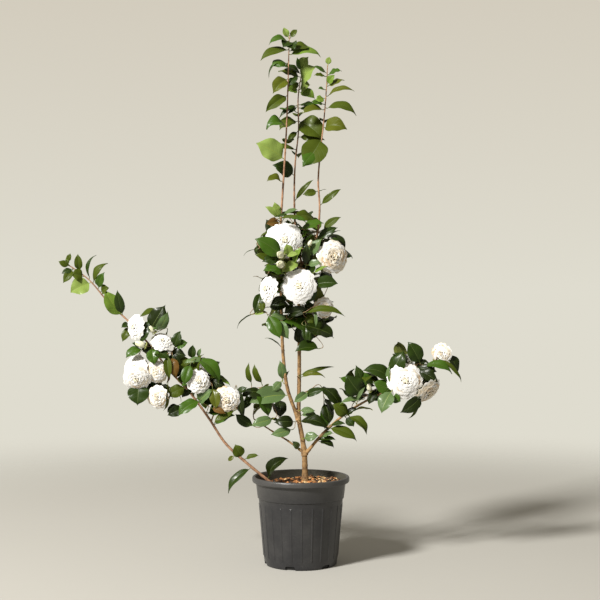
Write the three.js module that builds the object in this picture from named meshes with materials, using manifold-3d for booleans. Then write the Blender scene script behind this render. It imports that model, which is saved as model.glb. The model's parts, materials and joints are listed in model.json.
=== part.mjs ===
// Camellia shrub in a round nursery pot.
//
// Millimetres, +Z up. The origin is the centre of the pot's flat underside. The long flowering
// bough reaches towards -X, the shorter one towards +X, and most open blooms face -Y.
// Woody limbs are tapering tubes. Each mass of foliage and blossom is one closed, uneven solid.

import * as THREE from 'three';
import { mergeVertices } from 'three/addons/utils/BufferGeometryUtils.js';
import Module from 'manifold-3d';

const wasm = await Module();
wasm.setup();

// ---------------------------------------------------------------- driving dimensions

const GAP = 0.3; // clearance left between neighbouring solids

const POT_HEIGHT = 216;
const POT_SEGMENTS = 28; // round the axis
const WALL = 2.2;
const FLOOR = 3;
const FOOT_RADIUS = 84; // of the flat underside
const CORNER = 6; // rise of the slope from the underside to the wall
const BODY_FOOT_RADIUS = 89.5;
const BODY_TOP_RADIUS = 104;
const COLLAR_FOOT = 164; // height where the collar starts, above the tapering body
const COLLAR_STEP = 2; // height of the step out from the body to the collar
const COLLAR_FOOT_RADIUS = 106.5;
const COLLAR_TOP_RADIUS = 111;
const RIM_RADIUS = 120;
const LIP_HEIGHT = 13;
const LIP_ROUND = 3.5;

const DRAINS = 6;
const FIRST_DRAIN = THREE.MathUtils.degToRad(-107); // from +X
const DRAIN_WIDTH = 24;
const DRAIN_HEIGHT = 9;
const DRAIN_REACH = 14; // radial length of the cut

const SOIL_LEVEL = 198;
const SOIL_MOUND = 5; // rise of the middle over the edge
const SOIL_SLOPE = 0.035; // rise towards +X
const SOIL_RINGS = 2;
const SOIL_LUMPS = { height: 1, lengthX: 17, lengthY: 14 }; // low waves over the surface

const STEM_SINK = 4; // depth of the trunk's flat foot below the mounded soil
const EDGE_SINK = 7; // the same for the bough that leaves the soil near the rim
const STOUT = 4; // radius from which a limb gets more sides
const LIMB_SIDES = { stout: 8, slender: 6 };
const LIMB_STEP = 78; // length of limb for each ring
const ROOT_FLARE = 3.2; // extra radius at the trunk's foot
const FLARE_LENGTH = 14;

const UNEVEN = 0.13; // share of a lobe's radius that its surface swells and dips by
const LOBE_DETAIL = 1;

// ---------------------------------------------------------------- materials

const finish = (color, roughness) => new THREE.MeshStandardMaterial({ color, roughness, metalness: 0 });

const potPlastic = finish(0x3c3d3d, 0.5);
const pottingMix = finish(0x8a5a30, 0.9);
const oldBark = finish(0x9b7a58, 0.8);
const youngBark = finish(0x8c5644, 0.65);
const matureLeaf = finish(0x2f5a2c, 0.4);
const youngLeaf = finish(0x6f9430, 0.45);

// ---------------------------------------------------------------- solids

function solidOf(geometry) {
  const bare = geometry.clone();
  bare.deleteAttribute('normal');
  bare.deleteAttribute('uv');
  const merged = mergeVertices(bare, 1e-3);
  return new wasm.Manifold(
    new wasm.Mesh({
      numProp: 3,
      vertProperties: merged.attributes.position.array,
      triVerts: new Uint32Array(merged.index.array),
    }),
  );
}

function geometryOf(solid) {
  const { numProp, vertProperties, triVerts } = solid.getMesh();
  const corners = new THREE.InterleavedBuffer(vertProperties, numProp);
  const geometry = new THREE.BufferGeometry();
  geometry.setAttribute('position', new THREE.InterleavedBufferAttribute(corners, 3, 0));
  geometry.setIndex(new THREE.BufferAttribute(triVerts, 1));
  return geometry;
}

// Moves every vertex of a geometry by a function that changes the vector it is given.
function reshape(geometry, change) {
  const position = geometry.attributes.position;
  const point = new THREE.Vector3();
  for (let i = 0; i < position.count; i++) {
    change(point.fromBufferAttribute(position, i));
    position.setXYZ(i, point.x, point.y, point.z);
  }
  return geometry;
}

const largest = (solid) => solid.decompose().sort((a, b) => b.volume() - a.volume())[0];

// ---------------------------------------------------------------- pot and soil

// A lathe about Z from [radius, height] pairs, listed anticlockwise from the lowest on the axis.
function turned(profile) {
  const outline = profile.map(([radius, height]) => new THREE.Vector2(radius, height));
  return new THREE.LatheGeometry(outline, POT_SEGMENTS).rotateX(Math.PI / 2);
}

const COLLAR_TOP = POT_HEIGHT - LIP_HEIGHT;

function innerRadius(height) {
  const [low, high, narrow, wide] = height < COLLAR_FOOT
    ? [CORNER, COLLAR_FOOT, BODY_FOOT_RADIUS, BODY_TOP_RADIUS]
    : [COLLAR_FOOT, COLLAR_TOP, COLLAR_FOOT_RADIUS, COLLAR_TOP_RADIUS];
  return THREE.MathUtils.mapLinear(height, low, high, narrow, wide) - WALL;
}

function potShell() {
  const throat = COLLAR_TOP_RADIUS - WALL;
  return turned([
    [0, 0],
    [FOOT_RADIUS, 0],
    [BODY_FOOT_RADIUS, CORNER],
    [BODY_TOP_RADIUS, COLLAR_FOOT - COLLAR_STEP],
    [COLLAR_FOOT_RADIUS, COLLAR_FOOT],
    [COLLAR_TOP_RADIUS, COLLAR_TOP],
    [RIM_RADIUS - LIP_ROUND / 2, COLLAR_TOP],
    [RIM_RADIUS, COLLAR_TOP + LIP_ROUND],
    [RIM_RADIUS, POT_HEIGHT - LIP_ROUND],
    [RIM_RADIUS - LIP_ROUND, POT_HEIGHT],
    [throat + LIP_ROUND, POT_HEIGHT],
    [throat, POT_HEIGHT - LIP_ROUND],
    [throat, COLLAR_TOP],
    [innerRadius(COLLAR_FOOT), COLLAR_FOOT],
    [innerRadius(COLLAR_FOOT - WALL), COLLAR_FOOT - WALL],
    [innerRadius(CORNER + FLOOR), CORNER + FLOOR],
    [FOOT_RADIUS - WALL, FLOOR],
    [0, FLOOR],
  ]);
}

function drainCut(index) {
  const slot = new THREE.BoxGeometry(DRAIN_REACH, DRAIN_WIDTH, 2 * DRAIN_HEIGHT);
  slot.translate(BODY_FOOT_RADIUS, 0, 0);
  slot.rotateZ(FIRST_DRAIN + (index * 2 * Math.PI) / DRAINS);
  return solidOf(slot);
}

function pot() {
  let solid = solidOf(potShell());
  for (let i = 0; i < DRAINS; i++) solid = solid.subtract(drainCut(i));
  return solid;
}

function soil() {
  const edge = innerRadius(SOIL_LEVEL) - 2 * GAP;
  const profile = [
    [0, FLOOR + GAP],
    [FOOT_RADIUS - WALL - 2 * GAP, FLOOR + GAP],
    [innerRadius(CORNER + FLOOR) - 2 * GAP, CORNER + FLOOR + GAP],
    [innerRadius(COLLAR_FOOT - WALL) - 2 * GAP, COLLAR_FOOT - WALL],
    [innerRadius(COLLAR_FOOT) - 2 * GAP, COLLAR_FOOT + 2 * GAP],
  ];
  for (let ring = SOIL_RINGS; ring >= 0; ring--) profile.push([(edge * ring) / SOIL_RINGS, SOIL_LEVEL]);
  return solidOf(
    reshape(turned(profile), (point) => {
      if (point.z < SOIL_LEVEL) return;
      const outward = Math.hypot(point.x, point.y) / edge;
      const lumps = Math.sin(point.x / SOIL_LUMPS.lengthX) * Math.cos(point.y / SOIL_LUMPS.lengthY);
      point.z += SOIL_MOUND * (1 - outward * outward) + SOIL_SLOPE * point.x + SOIL_LUMPS.height * lumps;
    }),
  );
}

// ---------------------------------------------------------------- limbs

// One tapering limb on a smooth route from its foot to its tip. grow thickens and lengthens it,
// to cut the clearance that its neighbours keep to it.
function limb({ route, radius, flare = 0 }, grow = 0) {
  const line = new THREE.CatmullRomCurve3(route.map((stop) => new THREE.Vector3(...stop)));
  const length = line.getLength();
  const rings = Math.max(3, Math.round(length / LIMB_STEP));
  const sides = radius[0] > STOUT ? LIMB_SIDES.stout : LIMB_SIDES.slender;
  const tube = new THREE.CylinderGeometry(1, 1, 1, sides, rings);
  return solidOf(
    reshape(tube, (point) => {
      const share = point.y + 0.5;
      const along = line.getTangentAt(share);
      const across = new THREE.Vector3(0, 1, 0).cross(along).normalize();
      const up = along.clone().cross(across);
      const thick = THREE.MathUtils.lerp(...radius, share) + grow
        + flare * Math.exp((-share * length) / FLARE_LENGTH);
      const beyond = grow * (share === 0 ? -1 : share === 1 ? 1 : 0);
      const centre = line.getPointAt(share).addScaledVector(along, beyond);
      point.copy(centre.addScaledVector(across, point.z * thick).addScaledVector(up, point.x * thick));
    }),
  );
}

const GROUND = SOIL_LEVEL + SOIL_MOUND; // top of the soil at the trunk
const TRUNK_FOOT = GROUND - STEM_SINK;
const BOUGH_FOOT = GROUND - EDGE_SINK;

const LIMBS = {
  trunk: { route: [[11, 0, TRUNK_FOOT], [10, 0, 240], [9, 0, 278]], radius: [7, 6.6], flare: ROOT_FLARE },
  leader: { route: [[9, 0, 278.3], [2, 2, 318], [-7, 4, 362]], radius: [6.2, 5.7] },
  right_stem: {
    route: [[-7, 4, 362.3], [-4, 13, 450], [-4, 12, 560], [-5, 8, 650], [2, 12, 740]],
    radius: [5.3, 3.6],
  },
  left_stem: {
    route: [
      [-7, 4, 358], [-30, -10, 420], [-43, -16, 510],
      [-47, -12, 610], [-50, -22, 780], [-49, -25, 850],
    ],
    radius: [4.7, 2.9],
  },
  right_bough: {
    route: [[10, -1, 268], [65, -18, 333], [146, -34, 398], [254, -34, 450], [330, -30, 503]],
    radius: [3.9, 1.6],
  },
  low_left_bough: {
    route: [[8, 2, 272], [-23, 20, 294], [-87, 52, 330], [-118, 62, 350]],
    radius: [2.7, 1.7],
  },
  left_bough: {
    route: [
      [-70, 0, BOUGH_FOOT], [-113, -8, 232], [-185, -20, 299],
      [-253, -30, 404], [-303, -30, 456], [-369, -30, 541],
    ],
    radius: [4.4, 2.5],
  },
};

const YOUNG_LIMBS = {
  left_tip_shoot: {
    route: [[-369.2, -30, 541.3], [-418, -34, 596], [-480, -38, 656], [-529, -40, 713], [-574, -42, 742]],
    radius: [2.4, 1.2],
  },
  whip_left: {
    route: [[-49, -25, 850.3], [-42, -26, 950], [-34, -26, 1092], [-31, -26, 1194], [-28, -26, 1296]],
    radius: [2.8, 1.1],
  },
  whip_middle: {
    route: [[2, 12, 738], [-14, 28, 836], [-14, 30, 990], [-5, 30, 1085], [-6, 30, 1162], [7, 30, 1240]],
    radius: [2.9, 1.1],
  },
  whip_right: {
    route: [[2, 12, 738], [36, -2, 796], [46, -5, 864], [43, -5, 950], [60, -5, 1126], [66, -5, 1232]],
    radius: [2.9, 1.1],
  },
};

// ---------------------------------------------------------------- masses of foliage

const lobe = (centre, radii) => ({ centre, radii });

// Waves over a ball: turns for each unit of x, y and z, and how far each wave starts on for each seed.
const WAVES = [
  { along: [4.1, 0, 0], start: 1.7 },
  { along: [0, 3.7, 0], start: 2.3 },
  { along: [0, 0, 4.7], start: 3.1 },
  { along: [7.3, -5.9, 0], start: 1 },
  { along: [0, 6.7, 7.9], start: -1 },
];

// Swells and dips over a ball, from -1 to 1.
function ripple(point, seed) {
  const height = ({ along, start }) => Math.sin(point.dot(new THREE.Vector3(...along)) + start * seed);
  return WAVES.reduce((sum, wave) => sum + height(wave), 0) / WAVES.length;
}

function lump({ centre, radii }, seed, grow) {
  const ball = new THREE.IcosahedronGeometry(1, LOBE_DETAIL);
  const [rx, ry, rz] = radii.map((radius) => radius + grow);
  return solidOf(
    reshape(ball, (point) => {
      point.multiplyScalar(1 + UNEVEN * ripple(point, seed));
      point.set(point.x * rx, point.y * ry, point.z * rz).add(new THREE.Vector3(...centre));
    }),
  );
}

// One closed, uneven solid from overlapping lobes.
function mass(lobes, grow = 0) {
  const lumps = lobes.map((each, index) => lump(each, index + each.centre[2] / 100, grow));
  return lumps.reduce((joined, next) => joined.add(next));
}

const MATURE_MASSES = {
  crown_upper: [
    lobe([-46, -34, 800], [70, 78, 66]),
    lobe([6, 42, 800], [86, 80, 66]),
    lobe([80, -18, 766], [44, 60, 58]),
  ],
  crown_middle: [
    lobe([4, -48, 686], [82, 78, 64]),
    lobe([-68, -28, 692], [52, 66, 56]),
    lobe([4, 54, 692], [90, 74, 62]),
  ],
  crown_lower: [
    lobe([-50, -10, 602], [70, 70, 56]),
    lobe([44, 8, 600], [56, 76, 62]),
    lobe([22, 0, 552], [42, 44, 34]),
  ],
  skirt_left: [
    lobe([-108, 34, 392], [56, 58, 42]),
    lobe([-92, -8, 436], [56, 48, 40]),
    lobe([-62, 6, 356], [42, 42, 28]),
  ],
  skirt_right: [
    lobe([54, 12, 408], [54, 54, 46]),
    lobe([54, 2, 340], [44, 48, 50]),
    lobe([58, 4, 466], [46, 40, 30]),
  ],
  right_bough_leaves: [
    lobe([112, -34, 352], [44, 36, 34]),
    lobe([142, -30, 374], [32, 32, 32]),
  ],
  left_bough_leaves: [
    lobe([-82, -14, 252], [34, 26, 24]),
    lobe([-128, -18, 266], [40, 28, 30]),
    lobe([-166, -20, 226], [32, 24, 34]),
  ],
  left_crown_inner: [
    lobe([-276, -34, 486], [54, 36, 64]),
    lobe([-196, -26, 410], [60, 34, 48]),
    lobe([-238, -28, 446], [46, 34, 54]),
  ],
  left_crown_outer: [
    lobe([-384, -38, 476], [62, 36, 64]),
    lobe([-338, -32, 430], [54, 34, 62]),
    lobe([-346, -30, 560], [54, 34, 68]),
    lobe([-402, -30, 590], [40, 32, 46]),
  ],
  right_crown_inner: [
    lobe([150, -34, 446], [56, 40, 48]),
    lobe([188, -36, 430], [40, 36, 44]),
  ],
  right_crown_outer: [
    lobe([258, -44, 454], [58, 40, 60]),
    lobe([256, -24, 504], [54, 38, 48]),
    lobe([316, -20, 440], [52, 38, 54]),
    lobe([350, -26, 504], [43, 34, 50]),
  ],
};

const YOUNG_MASSES = {
  top_left: [
    lobe([-52, -34, 1046], [58, 50, 104]),
    lobe([-36, -32, 1190], [48, 46, 78]),
    lobe([-26, -28, 1276], [60, 48, 46]),
  ],
  top_middle: [
    lobe([6, 42, 1062], [54, 50, 112]),
    lobe([0, 38, 1192], [48, 48, 68]),
  ],
  top_right: [
    lobe([70, -8, 1080], [54, 50, 80]),
    lobe([80, -8, 1178], [56, 50, 70]),
  ],
  left_tip_crown: [
    lobe([-462, -36, 652], [38, 30, 46]),
    lobe([-506, -38, 704], [42, 32, 50]),
    lobe([-554, -40, 714], [42, 34, 50]),
  ],
};

// ---------------------------------------------------------------- assembly

const plant = new THREE.Group();
plant.name = 'camellia_in_pot';
const clearances = []; // each placed solid grown by GAP, which cuts the solids placed after it

function place(name, material, make) {
  const cut = clearances.reduce((solid, clearance) => solid.subtract(clearance), make(0));
  clearances.push(make(GAP));
  const mesh = new THREE.Mesh(geometryOf(largest(cut)), material);
  mesh.name = name;
  plant.add(mesh);
}

function placeAll(shapes, material, make) {
  for (const [name, shape] of Object.entries(shapes)) place(name, material, (grow) => make(shape, grow));
}

placeAll(LIMBS, oldBark, limb);
placeAll(YOUNG_LIMBS, youngBark, limb);
placeAll(MATURE_MASSES, matureLeaf, mass);
placeAll(YOUNG_MASSES, youngLeaf, mass);
place('soil', pottingMix, soil);
place('pot', potPlastic, pot);

export default plant;
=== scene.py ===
import functools
import json
import math

import bpy
import numpy as np
from bpy.props import FloatProperty, FloatVectorProperty, IntProperty, PointerProperty
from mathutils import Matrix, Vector
from mathutils.bvhtree import BVHTree

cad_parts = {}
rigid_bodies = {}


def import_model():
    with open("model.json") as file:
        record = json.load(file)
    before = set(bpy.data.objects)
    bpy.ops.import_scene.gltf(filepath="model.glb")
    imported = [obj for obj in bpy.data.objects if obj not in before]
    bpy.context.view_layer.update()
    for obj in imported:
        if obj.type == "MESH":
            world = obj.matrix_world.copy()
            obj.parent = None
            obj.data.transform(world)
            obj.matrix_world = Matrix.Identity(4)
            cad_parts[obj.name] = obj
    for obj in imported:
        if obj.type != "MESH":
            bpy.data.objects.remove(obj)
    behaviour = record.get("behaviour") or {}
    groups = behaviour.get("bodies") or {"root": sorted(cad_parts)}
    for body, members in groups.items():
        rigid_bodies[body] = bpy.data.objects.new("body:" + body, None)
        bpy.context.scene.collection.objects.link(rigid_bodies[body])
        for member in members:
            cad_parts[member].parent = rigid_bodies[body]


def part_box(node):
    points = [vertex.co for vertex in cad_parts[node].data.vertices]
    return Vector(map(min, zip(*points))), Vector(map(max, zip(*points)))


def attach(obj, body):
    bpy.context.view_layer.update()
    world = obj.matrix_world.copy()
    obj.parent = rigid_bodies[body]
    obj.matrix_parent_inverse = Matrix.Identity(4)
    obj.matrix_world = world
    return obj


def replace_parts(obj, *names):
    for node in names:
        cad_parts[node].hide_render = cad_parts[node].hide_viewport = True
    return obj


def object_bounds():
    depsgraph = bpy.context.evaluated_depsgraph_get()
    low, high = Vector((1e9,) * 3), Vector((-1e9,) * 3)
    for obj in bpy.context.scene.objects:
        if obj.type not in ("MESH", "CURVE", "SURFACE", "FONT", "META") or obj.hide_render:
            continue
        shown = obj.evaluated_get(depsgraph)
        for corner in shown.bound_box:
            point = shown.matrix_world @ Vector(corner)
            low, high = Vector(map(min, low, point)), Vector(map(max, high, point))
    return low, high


for old in list(bpy.data.objects):
    bpy.data.objects.remove(old)

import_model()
CAD_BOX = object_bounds()

bl_info = {
    "name": "Potted camellia",
    "version": (1, 0, 0),
    "blender": (4, 5, 0),
    "location": "3D View > Sidebar > Camellia",
    "description": "Grows a potted camellia in flower on the limbs of the packed model",
    "category": "Add Mesh",
}

MM = 0.001
BODY = "root"
GOLDEN_TURN = math.pi * (3 - math.sqrt(5))
NOTHING = 1e-9          # a length below which a vector has no direction
HAIR = 1e-6             # metres: places closer than this are one

OLD_LIMBS = ("trunk", "leader", "left_stem", "right_stem", "right_bough", "low_left_bough")
YOUNG_LIMBS = ("left_bough", "whip_left", "whip_middle", "whip_right", "left_tip_shoot")

# Each region of foliage is one piece of leaves, and stands for these masses.
REGIONS = {
    "crown_leaves": ("crown_upper", "crown_middle", "crown_lower"),
    "skirt_leaves": ("skirt_left", "skirt_right", "right_bough_leaves", "left_bough_leaves"),
    "left_leaves": ("left_crown_inner", "left_crown_outer", "left_tip_crown"),
    "right_leaves": ("right_crown_inner", "right_crown_outer"),
    "top_leaves": ("top_left", "top_middle", "top_right"),
}

# --------------------------------------------------------------------------------------------------
# Sizes and colours that a user would change


def tint(red, green, blue):
    """A colour given in everyday 0 to 255 steps, as the linear values that Blender stores."""
    shares = [step / 255 for step in (red, green, blue)]
    return tuple(s / 12.92 if s <= 0.04045 else ((s + 0.055) / 1.055) ** 2.4 for s in shares)


def paint(name, description, *steps):
    shown = {"name": name, "description": description, "subtype": "COLOR"}
    return FloatVectorProperty(default=tint(*steps), min=0, max=1, size=3, **shown)


def length(name, description, millimetres):
    shown = {"name": name, "description": description, "unit": "LENGTH", "subtype": "DISTANCE"}
    return FloatProperty(default=millimetres * MM, min=0, **shown)


class LeafSettings(bpy.types.PropertyGroup):
    seed: IntProperty(name="Seed", description="Start of every random draw", default=11)
    length: length("Leaf length", "Blade of an ordinary leaf, from its stalk to its tip", 58)
    slimness: FloatProperty(name="Slimness", description="Width for its length", default=0.56)
    stalk: length("Leaf stalk", "Length of the stalk under the blade", 7)
    thickness: length("Leaf thickness", "Thickness of the blade beside its midrib", 0.5)
    deep: paint("Deep green", "Oldest leaves, in the crown", 24, 34, 4)
    dark: paint("Dark green", "Old leaves", 34, 50, 8)
    mid: paint("Middle green", "Most of the leaves", 52, 78, 16)
    moss: paint("Moss green", "Dull leaves of the whips and the shoots", 60, 71, 16)
    fresh: paint("Fresh green", "Leaves that took the light", 92, 116, 40)
    young: paint("Young green", "This year's leaves", 112, 130, 62)
    # Grey green is partly painted sheen: it goes on leaves whose glare looks grey green, and on
    # pale undersides turned to the front.
    sage: paint("Grey green", "Leaves with a dull bloom on them", 78, 98, 58)
    olive: paint("Olive green", "Dull, yellowing leaves", 74, 80, 18)
    withered: paint("Withered brown", "The few leaves that are dying", 88, 64, 28)
    under_dull: paint("Dull underside", "Underside of the dark leaves", 90, 96, 44)
    under_fresh: paint("Fresh underside", "Underside of the light leaves", 130, 142, 62)
    rib_pale: paint("Pale midrib", "Midrib and stalk of the dark leaves", 66, 80, 26)
    rib_lime: paint("Lime midrib", "Midrib and stalk of the light leaves", 116, 128, 46)


class BloomSettings(bpy.types.PropertyGroup):
    petals: IntProperty(name="Petals", description="Petals of an open bloom", default=64, min=8)
    white: paint("White", "Open petals", 253, 251, 247)
    cream: paint("Cream", "Petals at the heart of a bloom", 252, 243, 216)
    # Ivory and the aged tint are partly painted shade: blooms that stand in shade take more of
    # them, and both are kept darker for it.
    ivory: paint("Ivory", "Petals of a bloom past its best", 238, 226, 204)
    aged_and_shaded: paint("Aged", "Outer petals of an old bloom", 220, 192, 154)
    sepal: paint("Sepal", "Scales under a bloom and round a bud", 128, 132, 70)
    bud: paint("Bud", "Petals that are still shut", 242, 240, 206)


class WoodSettings(bpy.types.PropertyGroup):
    twig_tip: length("Twig tip", "Radius of a twig at its tip", 0.8)
    light: paint("Light bark", "Ridges of the old bark", 160, 127, 84)
    # The dark bark is partly painted shade: it is set darker than the bark's own so that the old
    # limbs look shaded, as the leader is under the skirt leaves.
    dark: paint("Dark bark", "Hollows of the old bark", 68, 47, 29)
    shoot: paint("Shoot bark", "Light bark of the long shoots", 172, 134, 104)
    shoot_dark: paint("Shoot shade", "Dark bark of the long shoots", 100, 68, 50)
    twig: paint("Twig", "Brown twigs", 126, 100, 68)
    green_twig: paint("Green twig", "Twigs of this year", 112, 110, 60)


class PotSettings(bpy.types.PropertyGroup):
    ribs: IntProperty(name="Ribs", description="Upright ribs round the body", default=24, min=3)
    drains: IntProperty(name="Drains", description="Drain notches round the foot", default=6, min=1)
    plastic: paint("Plastic", "Charcoal plastic", 33, 33, 35)
    # also the colour of the painted highlight that makes the collar and lip paler
    dust: paint("Dust", "Dust and scuffs on the plastic", 60, 59, 58)
    grime: paint("Grime", "Dried soil on the wall above the bark", 56, 54, 44)
    chips: IntProperty(name="Chips", description="Chips of bark on the soil", default=1100, min=1)
    soil: paint("Soil", "Wet soil under the chips", 58, 38, 22)
    chip_tan: paint("Tan chip", "Freshly broken bark", 210, 178, 128)
    chip_orange: paint("Orange chip", "Most of the bark", 164, 108, 56)
    chip_brown: paint("Brown chip", "Older bark", 94, 60, 30)
    chip_dark: paint("Dark chip", "Wet bark", 40, 27, 16)


class StageSettings(bpy.types.PropertyGroup):
    floor: paint("Floor", "Pale studio floor", 168, 166, 160)
    horizon: paint("Backdrop", "Light all round, at eye level", 223, 220, 207)
    above: paint("Backdrop above", "Light all round, higher up", 210, 203, 188)
    key_power: FloatProperty(
        name="Key light", description="Power of the key light", default=1500, unit="POWER"
    )


def settings():
    return bpy.context.scene.camellia


def own_draw(step):
    """A piece's own random draw from the user's seed, so that no piece changes another."""
    return np.random.default_rng(settings().leaf.seed + step)


# --------------------------------------------------------------------------------------------------
# Small mathematics


def unit(vector):
    return vector / max(np.linalg.norm(vector), NOTHING)


def units(rows):
    return rows / np.maximum(np.linalg.norm(rows, axis=-1, keepdims=True), NOTHING)


def run_of(points):
    """How far along its line each point lies."""
    return np.concatenate([[0], np.cumsum(np.linalg.norm(np.diff(points, axis=0), axis=1))])


def smooth_line(knots, step):
    """Points about step apart on a smooth line through the knots. Further columns go along."""
    knots = np.asarray(knots, float)
    ends = np.vstack([2 * knots[0] - knots[1], knots, 2 * knots[-1] - knots[-2]])
    line = []
    for a, b, c, d in zip(ends, ends[1:], ends[2:], ends[3:]):
        count = max(2, int(np.linalg.norm((c - b)[:3]) / step))
        t = np.linspace(0, 1, count, endpoint=False)[:, None]
        second, third = 2 * a - 5 * b + 4 * c - d, 3 * b - a - 3 * c + d
        line.append(0.5 * (2 * b + (c - a) * t + second * t**2 + third * t**3))
    return np.vstack(line + [knots[-1:]])


def eased(keys, values, at):
    """Values between keys with a smooth slope, for the outline of a leaf."""
    slopes = np.gradient(values, keys)
    slot = np.clip(np.searchsorted(keys, at, side="right") - 1, 0, len(keys) - 2)
    span = keys[slot + 1] - keys[slot]
    t = (at - keys[slot]) / span
    a, b = values[slot], values[slot + 1]
    p, q = slopes[slot] * span, slopes[slot + 1] * span
    return a + t * p + t**2 * (3 * (b - a) - 2 * p - q) + t**3 * (2 * (a - b) + p + q)


def spot(name, share):
    """A place in a CAD node's box, from 0 to 1 along each side."""
    low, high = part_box(name)
    return np.array([low[i] + (high[i] - low[i]) * share[i] for i in range(3)])


# --------------------------------------------------------------------------------------------------
# Joined meshes from arrays

CHART_STEP = 0.02       # metres along a tube for each whole step of its chart


class Pile:
    """Many small closed shapes that become one piece."""

    def __init__(self):
        self.points = []
        self.loops = []
        self.totals = []
        self.finishes = []
        self.places = []
        self.count = 0

    def add(self, points, faces, finishes, places=None):
        """One shape: its points, and its faces and finishes as an array for each kind of face."""
        for corners, kinds in zip(faces, finishes):
            self.loops.append(corners.ravel() + self.count)
            self.totals.append(np.full(len(corners), corners.shape[1]))
            self.finishes.append(np.broadcast_to(kinds, len(corners)))
        self.points.append(points)
        self.places.append(np.zeros((len(points), 2)) if places is None else places)
        self.count += len(points)

    def add_sheet(self, skin, under, faces, finishes, across, along):
        """A thin sheet between two grids of points that share their margin, with its chart."""
        chart = np.stack(np.broadcast_arrays((across + 1) / 2, along), -1)
        points, places = (
            np.concatenate([top.reshape(-1, size), low[1:-1, 1:-1].reshape(-1, size)])
            for top, low, size in ((skin, under, 3), (chart, chart, 2))
        )
        self.add(points, faces, finishes, places)

    def piece(self, name, finishes, slot, sharp=52):
        """The pile as one smooth-shaded object, with edges sharper than so many degrees kept."""
        points = np.concatenate(self.points)
        loops = np.concatenate(self.loops).astype(np.int32)
        totals = np.concatenate(self.totals).astype(np.int32)
        mesh = bpy.data.meshes.new(name)
        mesh.vertices.add(len(points))
        mesh.vertices.foreach_set("co", points.astype(np.float32).ravel())
        mesh.loops.add(len(loops))
        mesh.loops.foreach_set("vertex_index", loops)
        mesh.polygons.add(len(totals))
        starts = np.concatenate([[0], np.cumsum(totals)[:-1]]).astype(np.int32)
        mesh.polygons.foreach_set("loop_start", starts)
        mesh.polygons.foreach_set("loop_total", totals)
        mesh.polygons.foreach_set("material_index", np.concatenate(self.finishes).astype(np.int32))
        chart = mesh.uv_layers.new(name="surface")
        chart.data.foreach_set("uv", np.concatenate(self.places)[loops].astype(np.float32).ravel())
        for made in finishes:
            mesh.materials.append(made)
        mesh.update(calc_edges=True)
        mesh.polygons.foreach_set("use_smooth", np.ones(len(totals), bool))
        mesh.set_sharp_from_angle(angle=math.radians(sharp))
        return settle(bpy.data.objects.new(name, mesh))


def settle(piece):
    """Puts a finished piece in the scene, on the plant's body."""
    if piece.name not in bpy.context.scene.collection.all_objects:
        bpy.context.scene.collection.objects.link(piece)
    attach(piece, BODY)
    return piece


@functools.lru_cache(maxsize=None)
def sheet_faces(rows, columns):
    """Faces of a thin closed sheet: its top, and its underside, which shares the top's margin."""
    top = np.arange(rows * columns).reshape(rows, columns)
    under = top.copy()
    inner = (rows - 2, columns - 2)
    under[1:-1, 1:-1] = rows * columns + np.arange(inner[0] * inner[1]).reshape(inner)

    def quads(grid):
        corners = (grid[:-1, :-1], grid[:-1, 1:], grid[1:, 1:], grid[1:, :-1])
        return np.stack(corners, -1).reshape(-1, 4)

    return quads(top), quads(under)[:, [0, 3, 2, 1]]


def prism_faces(index):
    """The walls and the two ends of a closed shape whose corners lie in rings."""
    after = np.roll(index, -1, axis=1)
    wall = np.stack([index[:-1], after[:-1], after[1:], index[1:]], -1).reshape(-1, 4)
    return [wall, np.stack([index[0][::-1], index[-1]])]


def tube(line, sides):
    """Points and faces of a closed tube round a line of x, y, z and radius rows, and its chart."""
    points, radii = line[:, :3], line[:, 3]
    ways = units(np.gradient(points, axis=0))
    across = np.zeros_like(points)
    start = np.cross(ways[0], (0.3, 1.0, 0.2))
    for i, way in enumerate(ways):
        start = unit(start - way * start.dot(way))
        across[i] = start
    up = np.cross(ways, across)
    turn = np.arange(sides) * 2 * math.pi / sides
    cos, sin = np.cos(turn)[None, :, None], np.sin(turn)[None, :, None]
    spokes = cos * across[:, None] + sin * up[:, None]
    skin = (points[:, None] + radii[:, None, None] * spokes).reshape(-1, 3)
    faces = prism_faces(np.arange(len(skin)).reshape(len(points), sides))
    shares, steps = (turn / (2 * math.pi))[None], run_of(points)[:, None] / CHART_STEP
    chart = np.stack(np.broadcast_arrays(shares, steps), -1).reshape(-1, 2)
    return skin, faces, chart


def add_tube(pile, line, sides, kind):
    skin, faces, chart = tube(line, sides)
    pile.add(skin, faces, [kind, kind], chart)


# --------------------------------------------------------------------------------------------------
# Materials


def feed(socket, value):
    """Sets an input, or links into it an output or the first output of a node."""
    if isinstance(value, bpy.types.Node):
        value = next(output for output in value.outputs if output.enabled)
    if isinstance(value, bpy.types.NodeSocket):
        socket.id_data.links.new(value, socket)
    else:
        socket.default_value = value


def set_up(made, **values):
    """Sets a node's properties and feeds its inputs, by name."""
    for name, value in values.items():
        if hasattr(made, name):
            setattr(made, name, value)
        else:
            feed(made.inputs[name.replace("_", " ")], value)
    return made


def node(tree, kind, *inputs, **values):
    """A shader node, with properties and inputs by name, and its first inputs in order."""
    made = set_up(tree.nodes.new("ShaderNode" + kind), **values)
    for socket, value in zip(made.inputs, inputs):
        feed(socket, value)
    return made


def remap(tree, value, low=0.0, high=1.0, to_low=0.0, to_high=1.0):
    """A value stretched from one range to another, and held to it."""
    return node(tree, "MapRange", value, low, high, to_low, to_high)


def use_group(tree, group, **values):
    return node(tree, "Group", node_tree=group, **values)


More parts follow.
